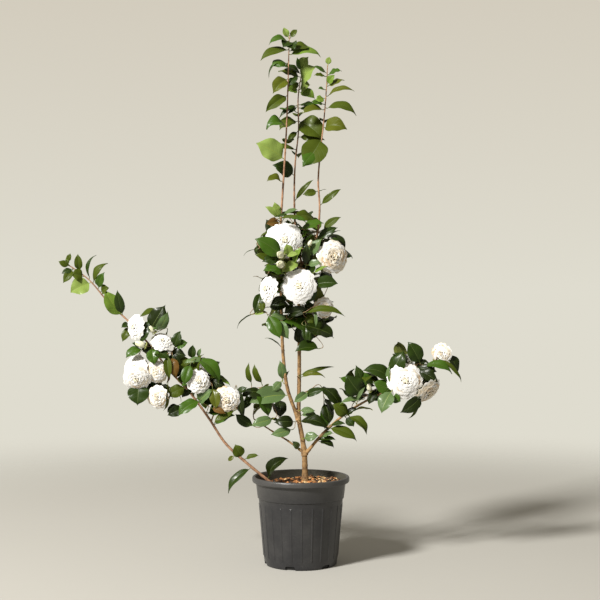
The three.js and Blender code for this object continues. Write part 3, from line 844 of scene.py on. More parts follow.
# Leaves that a twig is grown for: where they start, as shares of a mass's box, then the same.
TWIG_LEAVES = {
    "crown_upper": [
        ((0.25, 0.28, 0.82), (-28, -14, -5), 24, "withered"),
        ((0.24, 0.25, 0.90), (30, -10, 0), 13, "dark", "up", 0.2),
        ((0.28, 0.12, 0.86), (44, -12, 2), 12, "moss", "up", 0.08),
        ((0.38, 0.20, 0.87), (38, -12, -12), 16, "mid", "up", 0.12),
        ((0.50, 0.25, 0.72), (50, -12, 14), 30, "mid", "up", 0.08),
        ((0.58, 0.30, 0.68), (-20, -8, -2), 17, "mid", "up", 0.08),
        ((0.72, 0.30, 0.72), (40, -5, 28), 19, "moss", "front", 0.06),
        ((0.66, 0.30, 0.58), (46, -8, 26), 21, "dark", "front", 0.08),
        ((0.76, 0.40, 0.57), (30, 0, 22), 8, "deep", "flat"),
        ((0.27, 0.05, 0.30), (-58, -15, 40), 42, "mid", "front", 0.08),
        ((0.18, 0.10, 0.24), (-38, -10, 14), 18, "moss"),
        ((0.28, 0.10, 0.27), (-44, -12, -8), 28, "dark"),
        ((0.29, 0.06, 0.04), (-44, -12, 8), 34, "mid", "up", 0.14),
        ((0.36, 0.08, 0.31), (-6, -12, 26), 24, "young", "front", 0.05),
        ((0.34, 0.08, 0.31), (28, -10, 2), 14, "young", "front", 0.08),
        ((0.42, 0.10, 0.20), (18, -10, 38), 18, "fresh", "half_left", 0.08),
        ((0.53, 0.15, 0.18), (1, -8, 50), 20, "deep", "front", 0.08),
        ((0.58, 0.18, 0.32), (26, -12, 38), 28, "sage", "bright", 0.08),
        ((0.56, 0.15, 0.17), (30, -10, 4), 18, "sage", "front", 0.08),
        ((0.62, 0.15, 0.06), (30, -12, 14), 14, "fresh", "up", 0.08),
        # partly painted light: the young tint makes this leaf lighter, though it stands in shade
        ((0.45, 0.11, 0.21), (-38, -4, -24), 26, "young", "bright", 0.12),
        ((0.02, 0.25, 0.40), (-30, 5, -14), 8, "dark", "flat", 0.15),
        ((0.03, 0.30, 0.46), (2, -5, -24), 10, "dark", "left"),
    ],
    "crown_middle": [
        ((0.73, 0.20, 0.50), (50, -12, 2), 32, "dark", "front", 0.08),
        ((0.36, 0.35, 0.18), (2, -10, 28), 13, "sage", "front", 0.06),
        ((0.08, 0.40, 0.63), (-16, 0, 3), 6, "withered", "flat"),
        ((0.38, 0.20, 0.20), (-36, -10, -12), 26, "deep"),
        ((0.46, 0.30, 0.10), (-20, -8, -20), 20, "deep"),
        ((0.60, 0.30, 0.12), (22, -8, -16), 22, "deep"),
    ],
    "crown_lower": [
        ((0.10, 0.20, 1.03), (-14, -10, -50), 24, "dark"),
        ((0.11, 0.15, 0.90), (2, -12, -26), 18, "moss"),
        ((0.03, 0.20, 0.68), (32, -10, 4), 12, "young", "front", 0.08),
        ((0.03, 0.30, 0.68), (-44, -5, -34), 8, "deep", "flat"),
        ((0.38, 0.20, 0.60), (-40, -8, 8), 16, "sage", "front", 0.08),
        ((0.19, 0.10, 0.64), (28, -18, -52), 35, "mid", "front", 0.08),
        ((0.28, 0.15, 0.56), (28, -14, -42), 30, "sage", "bright", 0.08),
        ((0.48, 0.30, 0.52), (-24, -8, -10), 14, "deep"),
        ((0.45, 0.30, 0.44), (12, -8, -28), 8, "deep", "right"),
        ((0.62, 0.20, 0.64), (-46, -12, -2), 24, "deep", "up"),
        ((0.42, 0.15, 0.68), (46, -12, 10), 26, "deep"),
        ((0.20, 0.20, 0.80), (48, -12, 4), 28, "deep"),
        ((0.35, 0.25, 0.95), (-20, -10, -22), 26, "deep"),
        ((0.60, 0.10, 0.48), (68, -8, -24), 58, "deep", "right", 0.08),
        ((0.60, 0.14, 0.48), (1, -8, -38), 18, "dark", "front", 0.08),
        ((0.73, 0.15, 0.10), (-54, -12, -4), 34, "dark", "up", 0.08),
        ((0.62, 0.02, 0.71), (90, -8, -8), 22, "moss", "up", 0.16),
        ((0.70, 0.02, 0.74), (2, -8, -40), 8, "sage", "front", 0.06),
        ((0.62, 0.20, 0.70), (14, -10, -30), 22, "moss"),
        ((0.33, 0.40, 0.10), (-40, 0, 26), 9, "dark", "flat"),
    ],
    "skirt_left": [
        ((0.30, 0.30, 0.80), (-6, -5, 50), 18, "moss", "half_left", 0.22),
        ((0.47, 0.30, 0.80), (-18, -8, 46), 19, "moss", "half_left", 0.18),
        ((0.82, 0.30, 0.86), (-6, -8, 46), 22, "sage", "front", 0.12),
        ((0.80, 0.30, 0.82), (-22, -10, -24), 20, "sage"),
        ((0.88, 0.35, 0.84), (8, -5, 24), 12, "moss", "left"),
        ((0.52, 0.30, 0.62), (-60, -12, -6), 30, "deep", "up", 0.22),
        ((0.22, 0.30, 0.66), (-26, -5, 0), 14, "dark", "up", 0.15),
        ((0.14, 0.30, 0.58), (6, -8, -54), 22, "deep", "half_left", 0.12),
        ((0.28, 0.35, 0.60), (-12, -8, -34), 20, "dark"),
        ((0.64, 0.25, 0.20), (-50, -14, -14), 28, "sage", "bright"),
        ((0.32, 0.25, 0.10), (-40, -10, 28), 26, "dark", "front", -0.1),
        ((1.00, 0.30, 0.15), (-46, -12, 0), 30, "deep", "front", 0.25),
        ((0.76, 0.30, 0.16), (-22, -8, 6), 10, "deep", "up"),
        ((0.96, 0.25, 0.02), (-48, -12, -10), 24, "sage"),
    ],
    "skirt_right": [
        ((0.02, 0.35, 0.85), (80, -10, 22), 14, "moss", "up"),
        ((0.04, 0.30, 0.83), (56, -12, 2), 16, "olive", "up", 0.18),
        ((0.15, 0.30, 0.64), (-32, -10, -22), 21, "sage"),
        ((0.12, 0.35, 0.60), (48, -12, 18), 20, "dark"),
        ((0.50, 0.35, 0.70), (46, -12, -56), 38, "deep", "half_right", 0.24),
        ((0.02, 0.30, 0.43), (34, -8, 0), 16, "sage", "front", 0.08),
        ((0.03, 0.30, 0.30), (66, -12, -18), 32, "deep", "up", 0.22),
        ((0.10, 0.30, 0.10), (34, -10, 8), 24, "sage", "bright"),
        ((0.42, 0.30, 0.08), (42, -8, 2), 15, "dark", "up"),
    ],
    "left_crown_outer": [
        ((0.50, 0.35, 0.79), (34, -10, 56), 48, "deep", "front", 0.08),
        ((0.60, 0.28, 0.77), (28, -8, 46), 27, "sage", "half_right", 0.3),
        ((0.45, 0.35, 0.85), (-14, -10, -52), 26, "dark"),
        ((0.66, 0.30, 0.79), (-24, -5, -3), 13, "mid", "up"),
        ((0.36, 0.30, 0.60), (-36, -12, -20), 28, "mid", "up", 0.15),
        ((0.35, 0.30, 0.62), (-20, -5, 10), 12, "dark"),
        ((0.50, 0.40, 0.63), (-20, -5, -14), 24, "deep"),
        ((0.53, 0.25, 0.60), (6, -12, -36), 32, "mid"),
        ((0.55, 0.30, 0.58), (38, -12, -20), 32, "dark", "up", 0.12),
        ((0.86, 0.40, 0.62), (14, -5, 38), 26, "dark"),
        ((0.88, 0.45, 0.62), (28, -8, 10), 24, "mid"),
        ((0.80, 0.50, 0.57), (36, -5, -8), 28, "deep"),
        ((0.76, 0.40, 0.53), (32, -5, -18), 24, "deep"),
        ((0.84, 0.20, 0.52), (8, -10, -46), 26, "withered", "front", 0.12),
        ((0.76, 0.18, 0.53), (6, -10, -52), 20, "moss"),
        ((0.76, 0.30, 0.40), (-2, -5, -30), 10, "withered", "right", 0.06),
        ((0.32, 0.30, 0.28), (-2, -12, -50), 52, "dark", "front", 0.06),
        ((1.00, 0.40, 0.25), (-42, -10, -20), 32, "moss", "front", 0.08),
        ((0.76, 0.25, 0.28), (-6, -8, -64), 15, "olive", "right", 0.08),
        ((0.90, 0.50, 0.08), (-26, -5, -16), 20, "deep", "up"),
    ],
    "left_crown_inner": [
        ((0.33, 0.50, 0.78), (2, -5, 32), 20, "dark", "front", 0.06),
        ((0.40, 0.50, 0.80), (8, -5, 20), 10, "sage", "front", 0.06),
        ((0.50, 0.35, 0.76), (-52, -10, -8), 17, "sage", "up", 0.14),
        ((0.42, 0.30, 0.76), (50, -12, -54), 38, "mid", "half_right", 0.2),
        ((0.56, 0.45, 0.48), (38, -8, -14), 24, "deep"),
        ((0.66, 0.45, 0.50), (30, -10, -14), 10, "fresh", "up"),
        ((0.32, 0.02, 0.69), (-12, -12, -46), 28, "mid", "front", 0.08),
        ((0.42, 0.25, 0.21), (34, -12, 30), 30, "sage", "bright"),
        ((0.42, 0.35, 0.24), (42, -8, -12), 18, "deep"),
        ((0.42, 0.10, 0.22), (-48, -15, -32), 34, "mid", "up"),
        ((0.22, 0.35, 0.12), (-38, -5, -16), 28, "deep"),
        ((0.60, 0.14, 0.38), (8, -10, -48), 26, "olive"),
        ((0.60, 0.10, 0.13), (32, -10, -12), 16, "withered"),
        ((0.86, 0.20, 0.09), (-48, -12, -28), 22, "moss", "up", 0.08),
        ((0.90, 0.40, 0.37), (14, -8, -64), 24, "deep", "front", 0.08),
        ((0.90, 0.45, 0.34), (24, -8, 10), 16, "dark"),
        ((0.18, 0.45, 0.55), (-26, -8, 26), 26, "deep"),
        ((0.55, 0.60, 0.62), (24, -5, 20), 24, "deep"),
        ((0.10, 0.60, 0.62), (16, -5, 30), 26, "deep"),
        ((0.30, 0.55, 0.42), (-20, -5, -30), 26, "deep"),
    ],
    "right_crown_inner": [
        ((0.38, 0.25, 0.34), (-34, -15, 46), 48, "dark", "front", 0.05),
        ((0.42, 0.35, 0.48), (-16, -8, 54), 26, "dark", "front", 0.06),
        ((0.95, 0.40, 0.62), (-72, -10, 28), 44, "dark", "up", 0.2),
        ((0.55, 0.30, 0.48), (-14, -10, 38), 22, "mid", "front", 0.06),
        ((0.94, 0.25, 0.38), (-46, -12, 24), 34, "mid", "front", 0.08),
        ((0.92, 0.10, 0.38), (-24, -15, -48), 40, "sage", "bright", 0.08),
        ((0.66, 0.35, 0.38), (-18, -8, -30), 22, "deep"),
        ((0.40, 0.30, 0.20), (-54, -10, -10), 15, "sage", "up"),
        ((0.27, 0.30, 0.14), (26, -8, 38), 10, "sage", "front", 0.08),
        ((0.95, 0.20, 0.25), (20, -8, -8), 24, "mid"),
        ((0.75, 0.60, 0.40), (-20, 5, -26), 28, "deep"),
    ],
    "right_crown_outer": [
        ((0.10, 0.38, 0.50), (28, -8, 58), 44, "dark", "bright"),
        ((0.46, 0.40, 0.68), (-28, -8, 48), 40, "dark", "front", 0.08),
        ((0.30, 0.45, 0.66), (-30, -8, 24), 32, "dark", "up"),
        ((0.40, 0.50, 0.62), (28, -5, 12), 22, "deep"),
        ((0.04, 0.30, 0.28), (4, -5, 60), 15, "sage", "half_left", 0.06),
        ((0.45, 0.40, 0.59), (42, -10, -8), 28, "deep"),
        ((0.46, 0.35, 0.55), (42, -12, -26), 28, "deep"),
        ((0.54, 0.35, 0.62), (62, -14, -16), 26, "mid", "up", 0.22),
        ((0.72, 0.45, 0.71), (54, -8, -54), 14, "moss", "half_right", 0.14),
        ((0.47, 0.28, 0.18), (-50, -10, -38), 32, "deep", "half_right", 0.14),
        ((0.46, 0.35, 0.14), (-26, -8, -48), 12, "moss", "right", 0.08),
        ((0.50, 0.30, 0.32), (-20, -8, -34), 14, "deep"),
    ],
    "right_bough_leaves": [
        ((0.42, 0.30, 0.62), (-36, -12, 26), 34, "moss"),
        ((0.42, 0.35, 0.60), (26, -5, 16), 18, "deep", "up"),
        ((0.40, 0.35, 0.52), (18, -5, -20), 22, "dark"),
        ((0.48, 0.30, 0.56), (42, -8, -42), 26, "moss", "half_right", 0.25),
        ((0.05, 0.30, 0.24), (62, -14, -26), 32, "moss", "up"),
        ((0.06, 0.35, 0.34), (32, -8, 4), 16, "dark", "up"),
    ],
}

# Sprays that the rule adds to fill a mass, and the tints that they are dealt.
SPRAYS = {
    "crown_upper": 30,
    "crown_middle": 26,
    "crown_lower": 8,
    "skirt_left": 3,
    "skirt_right": 2,
    "right_bough_leaves": 1,
    "left_crown_inner": 12,
    "left_crown_outer": 14,
    "right_crown_inner": 7,
    "right_crown_outer": 8,
}
CROWN_DEAL = ("deep", "deep", "dark", "dark", "mid", "mid", "moss", "fresh")

# Gaps that the sprays leave open from the front: mass, place across and up its box, and how many
# millimetres round it.
GAPS = [
    ("crown_upper", (0.07, 0.78), 16),
    ("crown_upper", (0.45, 1.02), 18),
    ("crown_upper", (0.68, 0.97), 18),
    ("crown_upper", (0.88, 0.66), 14),
    ("crown_upper", (0.97, 0.88), 20),
    ("crown_upper", (0.94, 0.56), 20),
    ("crown_middle", (0.86, 0.32), 20),
    ("crown_middle", (0.80, 0.44), 16),
    ("crown_middle", (0.00, 0.50), 14),
    ("crown_middle", (0.04, 0.24), 12),
    ("crown_lower", (0.02, 0.45), 22),
    ("crown_lower", (0.98, 0.50), 18),
    ("crown_lower", (0.93, 0.14), 18),
    ("crown_lower", (0.60, 0.00), 16),
    ("crown_lower", (0.72, 0.22), 10),
    ("crown_lower", (0.53, 0.28), 12),
    ("crown_lower", (0.20, 0.10), 20),
    ("left_crown_outer", (0.38, 0.96), 26),
    ("left_crown_outer", (0.05, 0.60), 14),
    ("left_crown_outer", (0.92, 0.90), 20),
    ("left_crown_outer", (0.78, 0.87), 14),
    ("left_crown_inner", (0.82, 0.75), 20),
    ("left_crown_inner", (0.66, 0.70), 14),
    ("left_crown_inner", (0.18, 0.90), 12),
    ("right_crown_inner", (0.08, 0.92), 14),
    ("right_crown_outer", (0.80, 0.42), 14),
    ("right_crown_outer", (0.77, 0.28), 18),
    ("right_crown_outer", (0.92, 0.15), 22),
    ("right_crown_outer", (0.05, 0.95), 14),
    ("right_crown_outer", (0.56, 0.92), 10),
    ("skirt_right", (0.45, 0.48), 18),
    ("skirt_right", (0.25, 0.76), 12),
    ("skirt_left", (0.55, 0.92), 14),
    ("skirt_left", (0.08, 0.92), 14),
    ("skirt_left", (0.98, 0.38), 14),
]

# Blooms: mass, place in its box, where it faces, diameter in millimetres, openness, and age, which
# is partly painted shade: blooms in shade get more ivory and aged petals.
BLOOMS = [
    ("crown_upper", (0.32, 0.17, 0.54), (0.05, -1.00, 0.05), 90, 1.0, 0.0),
    ("crown_upper", (0.18, 0.30, 0.59), (-0.65, -0.70, 0.20), 62, 0.9, 0.0),
    ("crown_middle", (0.53, 0.12, 0.47), (0.00, -1.00, 0.05), 88, 1.0, 0.0),
    ("crown_upper", (0.81, 0.17, 0.29), (0.40, -0.90, 0.05), 90, 0.8, 0.6),
    ("crown_middle", (0.18, 0.15, 0.41), (-0.70, -0.65, 0.10), 74, 0.7, 0.0),
    ("crown_lower", (0.80, 0.14, 0.78), (0.30, -0.90, -0.10), 58, 0.8, 0.5),
    ("left_crown_outer", (0.26, 0.30, 0.80), (-0.60, -0.75, 0.10), 68, 0.8, 0.0),
    ("left_crown_outer", (0.67, 0.30, 0.67), (0.15, -0.75, 0.60), 62, 0.7, 0.0),
    ("left_crown_outer", (0.26, 0.28, 0.44), (-0.35, -0.85, 0.35), 68, 0.9, 0.0),
    ("left_crown_outer", (0.30, 0.12, 0.33), (0.00, -0.90, -0.40), 74, 0.9, 0.2),
    ("left_crown_outer", (0.60, 0.25, 0.39), (0.00, -0.95, -0.10), 60, 0.9, 0.4),
    ("left_crown_outer", (0.61, 0.20, 0.16), (-0.20, -0.90, -0.20), 65, 0.8, 0.4),
    ("left_crown_inner", (0.42, 0.10, 0.48), (0.20, -0.95, 0.15), 72, 0.6, 0.1),
    ("left_crown_inner", (0.77, 0.20, 0.23), (0.15, -0.95, 0.05), 80, 0.7, 0.5),
    ("right_crown_outer", (0.27, 0.20, 0.41), (0.10, -1.00, 0.05), 90, 1.0, 0.15),
    ("right_crown_outer", (0.58, 0.36, 0.23), (0.55, -0.50, -0.65), 84, 0.9, 0.7),
    ("right_crown_outer", (0.75, 0.50, 0.79), (-0.30, -0.90, -0.15), 57, 0.8, 0.5),
    ("crown_upper", (0.42, 0.90, 0.55), (0.10, 0.90, 0.40), 88, 1.0, 0.0),
    ("crown_middle", (0.30, 0.90, 0.50), (-0.40, 0.90, 0.00), 80, 0.9, 0.2),
    ("crown_lower", (0.60, 0.90, 0.60), (0.40, 0.90, -0.20), 76, 0.8, 0.0),
    ("left_crown_inner", (0.40, 0.95, 0.60), (-0.20, 0.95, 0.20), 78, 0.9, 0.0),
    ("right_crown_outer", (0.30, 0.98, 0.60), (0.10, 0.95, 0.30), 74, 0.9, 0.0),
]

# Buds: mass, place in its box, where it points, diameter in millimetres.
BUDS = [
    ("crown_upper", (0.28, 0.02, 0.31), (-0.3, -0.9, 0.2), 23),
    ("crown_upper", (0.28, 0.02, 0.17), (-0.3, -0.9, 0.1), 25),
    ("crown_upper", (0.57, 0.12, 0.48), (0.4, -0.5, 0.8), 14),
    ("left_crown_outer", (0.38, 0.20, 0.64), (-0.9, -0.3, 0.3), 22),
    ("left_crown_outer", (0.53, 0.30, 0.77), (-0.5, -0.5, 0.8), 17),
    ("right_crown_inner", (0.54, 0.20, 0.46), (-0.2, -0.5, 0.8), 17),
    ("crown_lower", (0.27, 0.80, 0.50), (-0.4, 0.7, 0.4), 18),
    ("crown_middle", (0.83, 0.80, 0.80), (0.5, 0.7, 0.5), 18),
    ("right_crown_outer", (0.70, 0.80, 0.70), (0.5, 0.6, 0.5), 16),
]

# How blooms keep clear of leaves, in shares of a bloom's size
BLOOM_FOOT = 0.12       # how far a bloom's foot lies behind its middle
NECK = 0.06             # how far behind the foot its twig ends
BLOOM_BACK = 0.16       # a leaf further back than this is behind the bloom
BLOOM_ROOM = 0.5        # leaves that aren't behind it stay this far from its middle
KEEP_MIDDLE, KEEP_TIP = 0.6, 0.52       # and this far as the front sees it, middle and tip
FACES_FRONT = 0.3       # the front sees a bloom that faces less than this along Y

# The growing rule
STRAY = 9 * MM          # how far a leaf's tip may leave its mass
PAST_BOX = 8 * MM       # how far it may leave the box of the whole plant
RAY = Vector((0.36, 0.48, 0.8))
RAY_NUDGE = 1e-5        # a ray goes on from this far past the wall that it met
MOST_WALLS = 12
TRIES = 14              # places that are tried for each spray
SPRAY_LEAVES = (3, 6)   # a spray has from the first of these to one less than the second
SPRAY_REACH = 0.07      # metres of a spray, from its tip, that carry leaves
SAME_TINT = 0.6         # share of a spray's leaves that take its tint
LEAF_TURN = 2.4         # from one leaf of a spray to the next
OTHER_SIDES = (0, 2.1, 4.2)             # turns that are tried for a leaf that isn't clear
LEAN, END_LEAN = 0.9, 0.35              # how far leaves, and the last one, lean out from a spray
HANG = np.array([0, 0, -0.22])
SKYWARD = np.array([-0.25, -0.45, 1.0])
SAG = -0.06             # of a stalk, for its length
STALK_FOOT, STALK_TAPER = 1.05, 0.25    # a stalk's radius in millimetres, and its loss to the tip


class Plant:
    """The whole plan: limbs, twigs, and where every leaf, bloom and bud stands."""

    def __init__(self):
        self.draw = own_draw(0)
        self.limbs = {name: limb_line(name) for name in OLD_LIMBS + YOUNG_LIMBS}
        self.wood = Wood(self.limbs.values())
        self.twigs = []
        self.stalks = []
        self.leaves = {region: [] for region in REGIONS}
        self.blooms = []
        self.buds = []
        self.seats = np.zeros((0, 3))
        self.gaps = [
            (spot(mass, (across, 0.5, up)), around * MM) for mass, (across, up), around in GAPS
        ]
        self.tip = settings().wood.twig_tip
        for row in BLOOMS:
            self.set_bloom(*row)
        for row in BUDS:
            self.set_bud(*row)
        tables = ((self.leaf_on_limb, LIMB_LEAVES), (self.leaf_on_twig, TWIG_LEAVES))
        for set_leaf, table in tables:
            for name, rows in table.items():
                for row in rows:
                    set_leaf(name, *row)
        for mass, count in SPRAYS.items():
            self.fill(mass, count)

    def region(self, name, centre):
        """The piece that a leaf joins: its mass's, or the one whose masses hold its place."""
        for region, masses in REGIONS.items():
            if name in masses:
                return region
        if name.startswith("whip"):
            return "top_leaves" if centre[2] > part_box("crown_upper")[1].z else "crown_leaves"
        high = centre[2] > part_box("left_crown_outer")[0].z
        if name == "left_tip_shoot" or (name == "left_bough" and high):
            return "left_leaves"
        return "skirt_leaves"

    def keep(self, line):
        self.twigs.append(line)
        self.wood.take(line[1:])

    def set_bloom(self, mass, share, facing, size, openness, age):
        facing = unit(np.array(facing))
        centre, size = spot(mass, share), size * MM
        foot = centre - facing * BLOOM_FOOT * size
        self.keep(self.wood.grow(foot - facing * NECK * size, facing, 1.5 * self.tip))
        self.blooms.append((foot, facing, size, openness, age))

    def set_bud(self, mass, share, facing, size):
        facing = unit(np.array(facing))
        foot = spot(mass, share) - facing * 0.5 * size * MM
        self.keep(self.wood.grow(foot, facing, self.tip))
        self.buds.append((foot, facing, size * MM))

    def place(self, name, base, reach, width, look, arch, colour):
        self.leaves[self.region(name, base)].append((base, reach, width, look, arch, colour))
        self.seats = np.vstack([self.seats, base + 0.5 * reach])

    def stalk(self, start, end, colour):
        t = np.linspace(0, 1, 4)[:, None]
        sag = np.array([0, 0, SAG * np.linalg.norm(end - start)]) * (4 * t * (1 - t))
        radii = (STALK_FOOT - STALK_TAPER * t) * MM
        self.stalks.append((np.hstack([start + (end - start) * t + sag, radii]), colour))

    def leaf_on_limb(self, limb, along, reach, width, colour, look="front", arch=0.1):
        line = self.limbs[limb]
        at = line[int(along * (len(line) - 1))]
        reach = np.array(reach, float) * MM
        ahead = unit(reach)
        base = at[:3] + ahead * (at[3] + 0.7 * settings().leaf.stalk)
        self.stalk(at[:3], base + ahead * MM, colour)
        self.place(limb, base, reach, width * MM, LOOKS[look], arch, colour)

    def leaf_on_twig(self, mass, share, reach, width, colour, look="front", arch=0.1):
        reach = np.array(reach, float) * MM
        ahead = unit(reach)
        base = spot(mass, share)
        foot = base - ahead * settings().leaf.stalk
        self.keep(self.wood.grow(foot, ahead, self.tip))
        self.stalk(foot, base + ahead * MM, colour)
        self.place(mass, base, reach, width * MM, LOOKS[look], arch, colour)

    def clear(self, middle, tip, tree):
        """True where a leaf hides no bloom or gap, pierces no bloom, and stays with its mass."""
        for foot, facing, size, *_ in self.blooms:
            off, end = (point - foot - facing * BLOOM_FOOT * size for point in (middle, tip))
            if off.dot(facing) > -BLOOM_BACK * size and np.linalg.norm(off) < BLOOM_ROOM * size:
                return False
            for point, share in ((off, KEEP_MIDDLE), (end, KEEP_TIP)):
                hides = math.hypot(point[0], point[2]) < share * size
                if facing[1] < FACES_FRONT and point[1] < 0 and hides:
                    return False
        for place, around in self.gaps:
            if min(math.hypot(*(point - place)[::2]) for point in (middle, tip)) < around:
                return False
        if not self.inside(tree, tip) and tree.find_nearest(Vector(tip))[3] > STRAY:
            return False
        low, high = CAD_BOX
        return all(low[i] - PAST_BOX < tip[i] < high[i] + PAST_BOX for i in range(3))

    def inside(self, tree, point):
        """True inside a mass, where a ray leaves through it an odd number of times."""
        hits, start = 0, Vector(point)
        for _ in range(MOST_WALLS):
            found = tree.ray_cast(start, RAY)
            if found[0] is None:
                break
            hits += 1
            start = found[0] + RAY * RAY_NUDGE
        return hits % 2 == 1

    def fill(self, mass, count):
        """Adds sprays where the mass is emptiest."""
        mesh = bpy.data.objects[mass].data
        corners = [corner.co[:] for corner in mesh.vertices]
        tree = BVHTree.FromPolygons(corners, [face.vertices[:] for face in mesh.polygons])
        low, high = (np.array(corner[:]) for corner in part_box(mass))
        middle = (low + high) / 2
        for _ in range(count):
            tries = []
            while len(tries) < TRIES:
                point = low + (high - low) * self.draw.random(3)
                if self.inside(tree, point):
                    tries.append(point)
            gaps = [np.linalg.norm(self.seats - point, axis=1).min() for point in tries]
            target = tries[int(np.argmax(gaps))]
            # sprays point outwards and somewhat up
            outward = unit((target - middle) * (1, 1, 0.6) + (0, 0, 0.35) * (high - low))
            self.spray(mass, target, outward, tree)

    def deal(self):
        return CROWN_DEAL[self.draw.integers(len(CROWN_DEAL))]

    def spray(self, mass, target, outward, tree):
        """One twig with its leaves, each turned on from the last. It ends at its last leaf."""
        line = self.wood.grow(target, unit(outward + self.draw.normal(0, 0.25, 3)), self.tip)
        colour = self.deal()
        count = int(self.draw.integers(*SPRAY_LEAVES))
        twist = self.draw.uniform(0, 6)
        ways = units(np.gradient(line[:, :3], axis=0))
        size = np.linalg.norm(np.diff(line[:, :3], axis=0), axis=1).sum()
        first = max(0.25, 1 - SPRAY_REACH / max(size, 0.01))
        last = 0
        for i in range(count):
            share = first + (1 - first) * i / (count - 1)
            at = int(share * (len(line) - 1))
            way = ways[at]
            round_about = unit(np.cross(way, (0.2, 0.1, 1.0)))
            other = np.cross(way, round_about)
            lean = LEAN if i < count - 1 else END_LEAN
            long = settings().leaf.length * self.draw.uniform(0.78, 1.22)
            own = colour if self.draw.random() < SAME_TINT else self.deal()
            look = SKYWARD + 0.5 * outward + self.draw.normal(0, 0.35, 3)
            width = long * settings().leaf.slimness * self.draw.uniform(0.85, 1.2)
            for offset in OTHER_SIDES:
                turn = twist + i * LEAF_TURN + offset
                out = math.cos(turn) * round_about + math.sin(turn) * other
                ahead = unit(0.6 * way + lean * out + HANG)
                base = line[at, :3] + ahead * settings().leaf.stalk
                reach = ahead * long
                if self.clear(base + 0.5 * reach, base + reach, tree):
                    self.stalk(line[at, :3], base + ahead * MM, own)
                    self.place(mass, base, reach, width, look, self.draw.uniform(0.04, 0.16), own)
                    last = at
                    break
        if last > 2:
            self.keep(line[: last + 1])


@functools.lru_cache(maxsize=None)
def plant():
    return Plant()


# --------------------------------------------------------------------------------------------------
# Blooms

PETAL_ROWS = np.array([0, 0.14, 0.32, 0.5, 0.68, 0.84, 0.95, 1])
PETAL_COLUMNS = np.array([-1, -0.7, -0.35, 0, 0.35, 0.7, 1])
# IVORY and the aged tint are partly painted shade: blooms that stand in shade take more of them.
WHITE, CREAM, IVORY, AGED_AND_SHADED, SEPAL = range(5)
SHUT = AGED_AND_SHADED             # the petals of a bud take the place of aged petals
PETAL_THICK, SHUT_THICK, SEPAL_THICK = 0.25 * MM, 0.3 * MM, 0.5 * MM
RUFFLE = 0.02
SEPALS = 7
BUD_SCALES = 16
GREEN_SCALES = 0.75     # scales of a bud from this share on are sepals


def petal(pile, foot, axis, turn, path, half, cup, colour, thick):
    """One petal on a path of (radius, height) points, bent across by cup, with its two faces."""
    spoke = unit(np.cross(axis, (0.31, 0.17, 0.94)))
    other = np.cross(axis, spoke)
    out = math.cos(turn) * spoke + math.sin(turn) * other
    side = np.cross(axis, out)
    s = PETAL_ROWS[:, None]
    a, b, c = (np.array(point) for point in path)
    curve = a * (1 - s) ** 2 + 2 * b * s * (1 - s) + c * s**2
    slope = units(np.gradient(curve, PETAL_ROWS, axis=0))
    middle = foot + curve[:, :1] * out + curve[:, 1:] * axis
    normals = -slope[:, 1:] * out + slope[:, :1] * axis
    across = PETAL_COLUMNS[None]
    wide = half * s**0.55 * np.sqrt(np.maximum(0, 1 - (0.97 * s) ** 6)) + 0.03 * half
    notch = 0.07 * half * (s**6) * np.cos(across * math.pi)
    wavy = RUFFLE * half * s**2 * np.sin(across * 4.2 + turn * 3) * np.abs(across)
    lift = cup * wide * across**2 + wavy
    ways = slope[:, :1] * out + slope[:, 1:] * axis
    blade = (
        middle[:, None]
        + (wide * across)[..., None] * side
        + lift[..., None] * normals[:, None]
        - notch[..., None] * ways[:, None]
    )
    skin = blade + (thick * (1 - across**2))[..., None] * normals[:, None]
    under = blade - thick * normals[:, None]
    # a curve that runs out from the axis has its side to its left, so the faces are turned over
    faces = [kind[:, ::-1] for kind in sheet_faces(*skin.shape[:2])]
    pile.add_sheet(skin, under, faces, [colour, colour], across, s)


def bloom(pile, foot, axis, size, openness, age, draw):
    """A formal double bloom: petals in a golden spiral, laid like tiles on a dome."""
    count = int(settings().bloom.petals * (0.6 + 0.4 * openness))
    wide = 0.5 * (0.6 + 0.4 * openness)
    high = 0.2 + 0.3 * (1 - openness)

    def dome(away):
        return high * (1 - 0.92 * (away / wide) ** 2)

    for i in range(count):
        t = i / (count - 1)
        away = wide * t**0.6
        shut = (1 - openness) * t
        start = (0.02, -0.05 * t)
        bulge = (0.5 + 0.5 * shut) * away * (1 - 0.5 * (1 - t) ** 4) + 0.03 * t
        bend = (bulge, (1 - shut) * dome(0.5 * away) + 0.03 - 0.02 * t)
        crest = dome(away) + 0.12 * shut + 0.03 * (1 - t) ** 8
        tip = (max(-0.03, away - 0.12 * (1 - t) ** 6), crest)
        path = [np.array(point) * size for point in (start, bend, tip)]
        path[2] = path[2] + draw.normal(0, 0.005, 2) * size
        half = size * (0.085 + 0.125 * t**0.7) * draw.uniform(0.94, 1.06)
        colour = CREAM if t < 0.1 else WHITE
        # ivory and aged petals: how old the bloom is, and partly painted shade on blooms that stand
        # in shade
        if draw.random() < age:
            colour = AGED_AND_SHADED if t > 0.4 and draw.random() < 0.5 * age else IVORY
        cup = 0.15 * (1 - t) ** 4 - 0.1 * openness * t
        petal(pile, foot, axis, i * GOLDEN_TURN, path, half, cup, colour, PETAL_THICK)
    for i in range(SEPALS):
        reach = size * (0.16 - 0.011 * i)
        path = [(0.0, -0.012 * size), (0.7 * reach, -0.03 * size), (reach, 0.03 * size)]
        petal(pile, foot, axis, i * GOLDEN_TURN, path, 0.075 * size, 0.35, SEPAL, SEPAL_THICK)


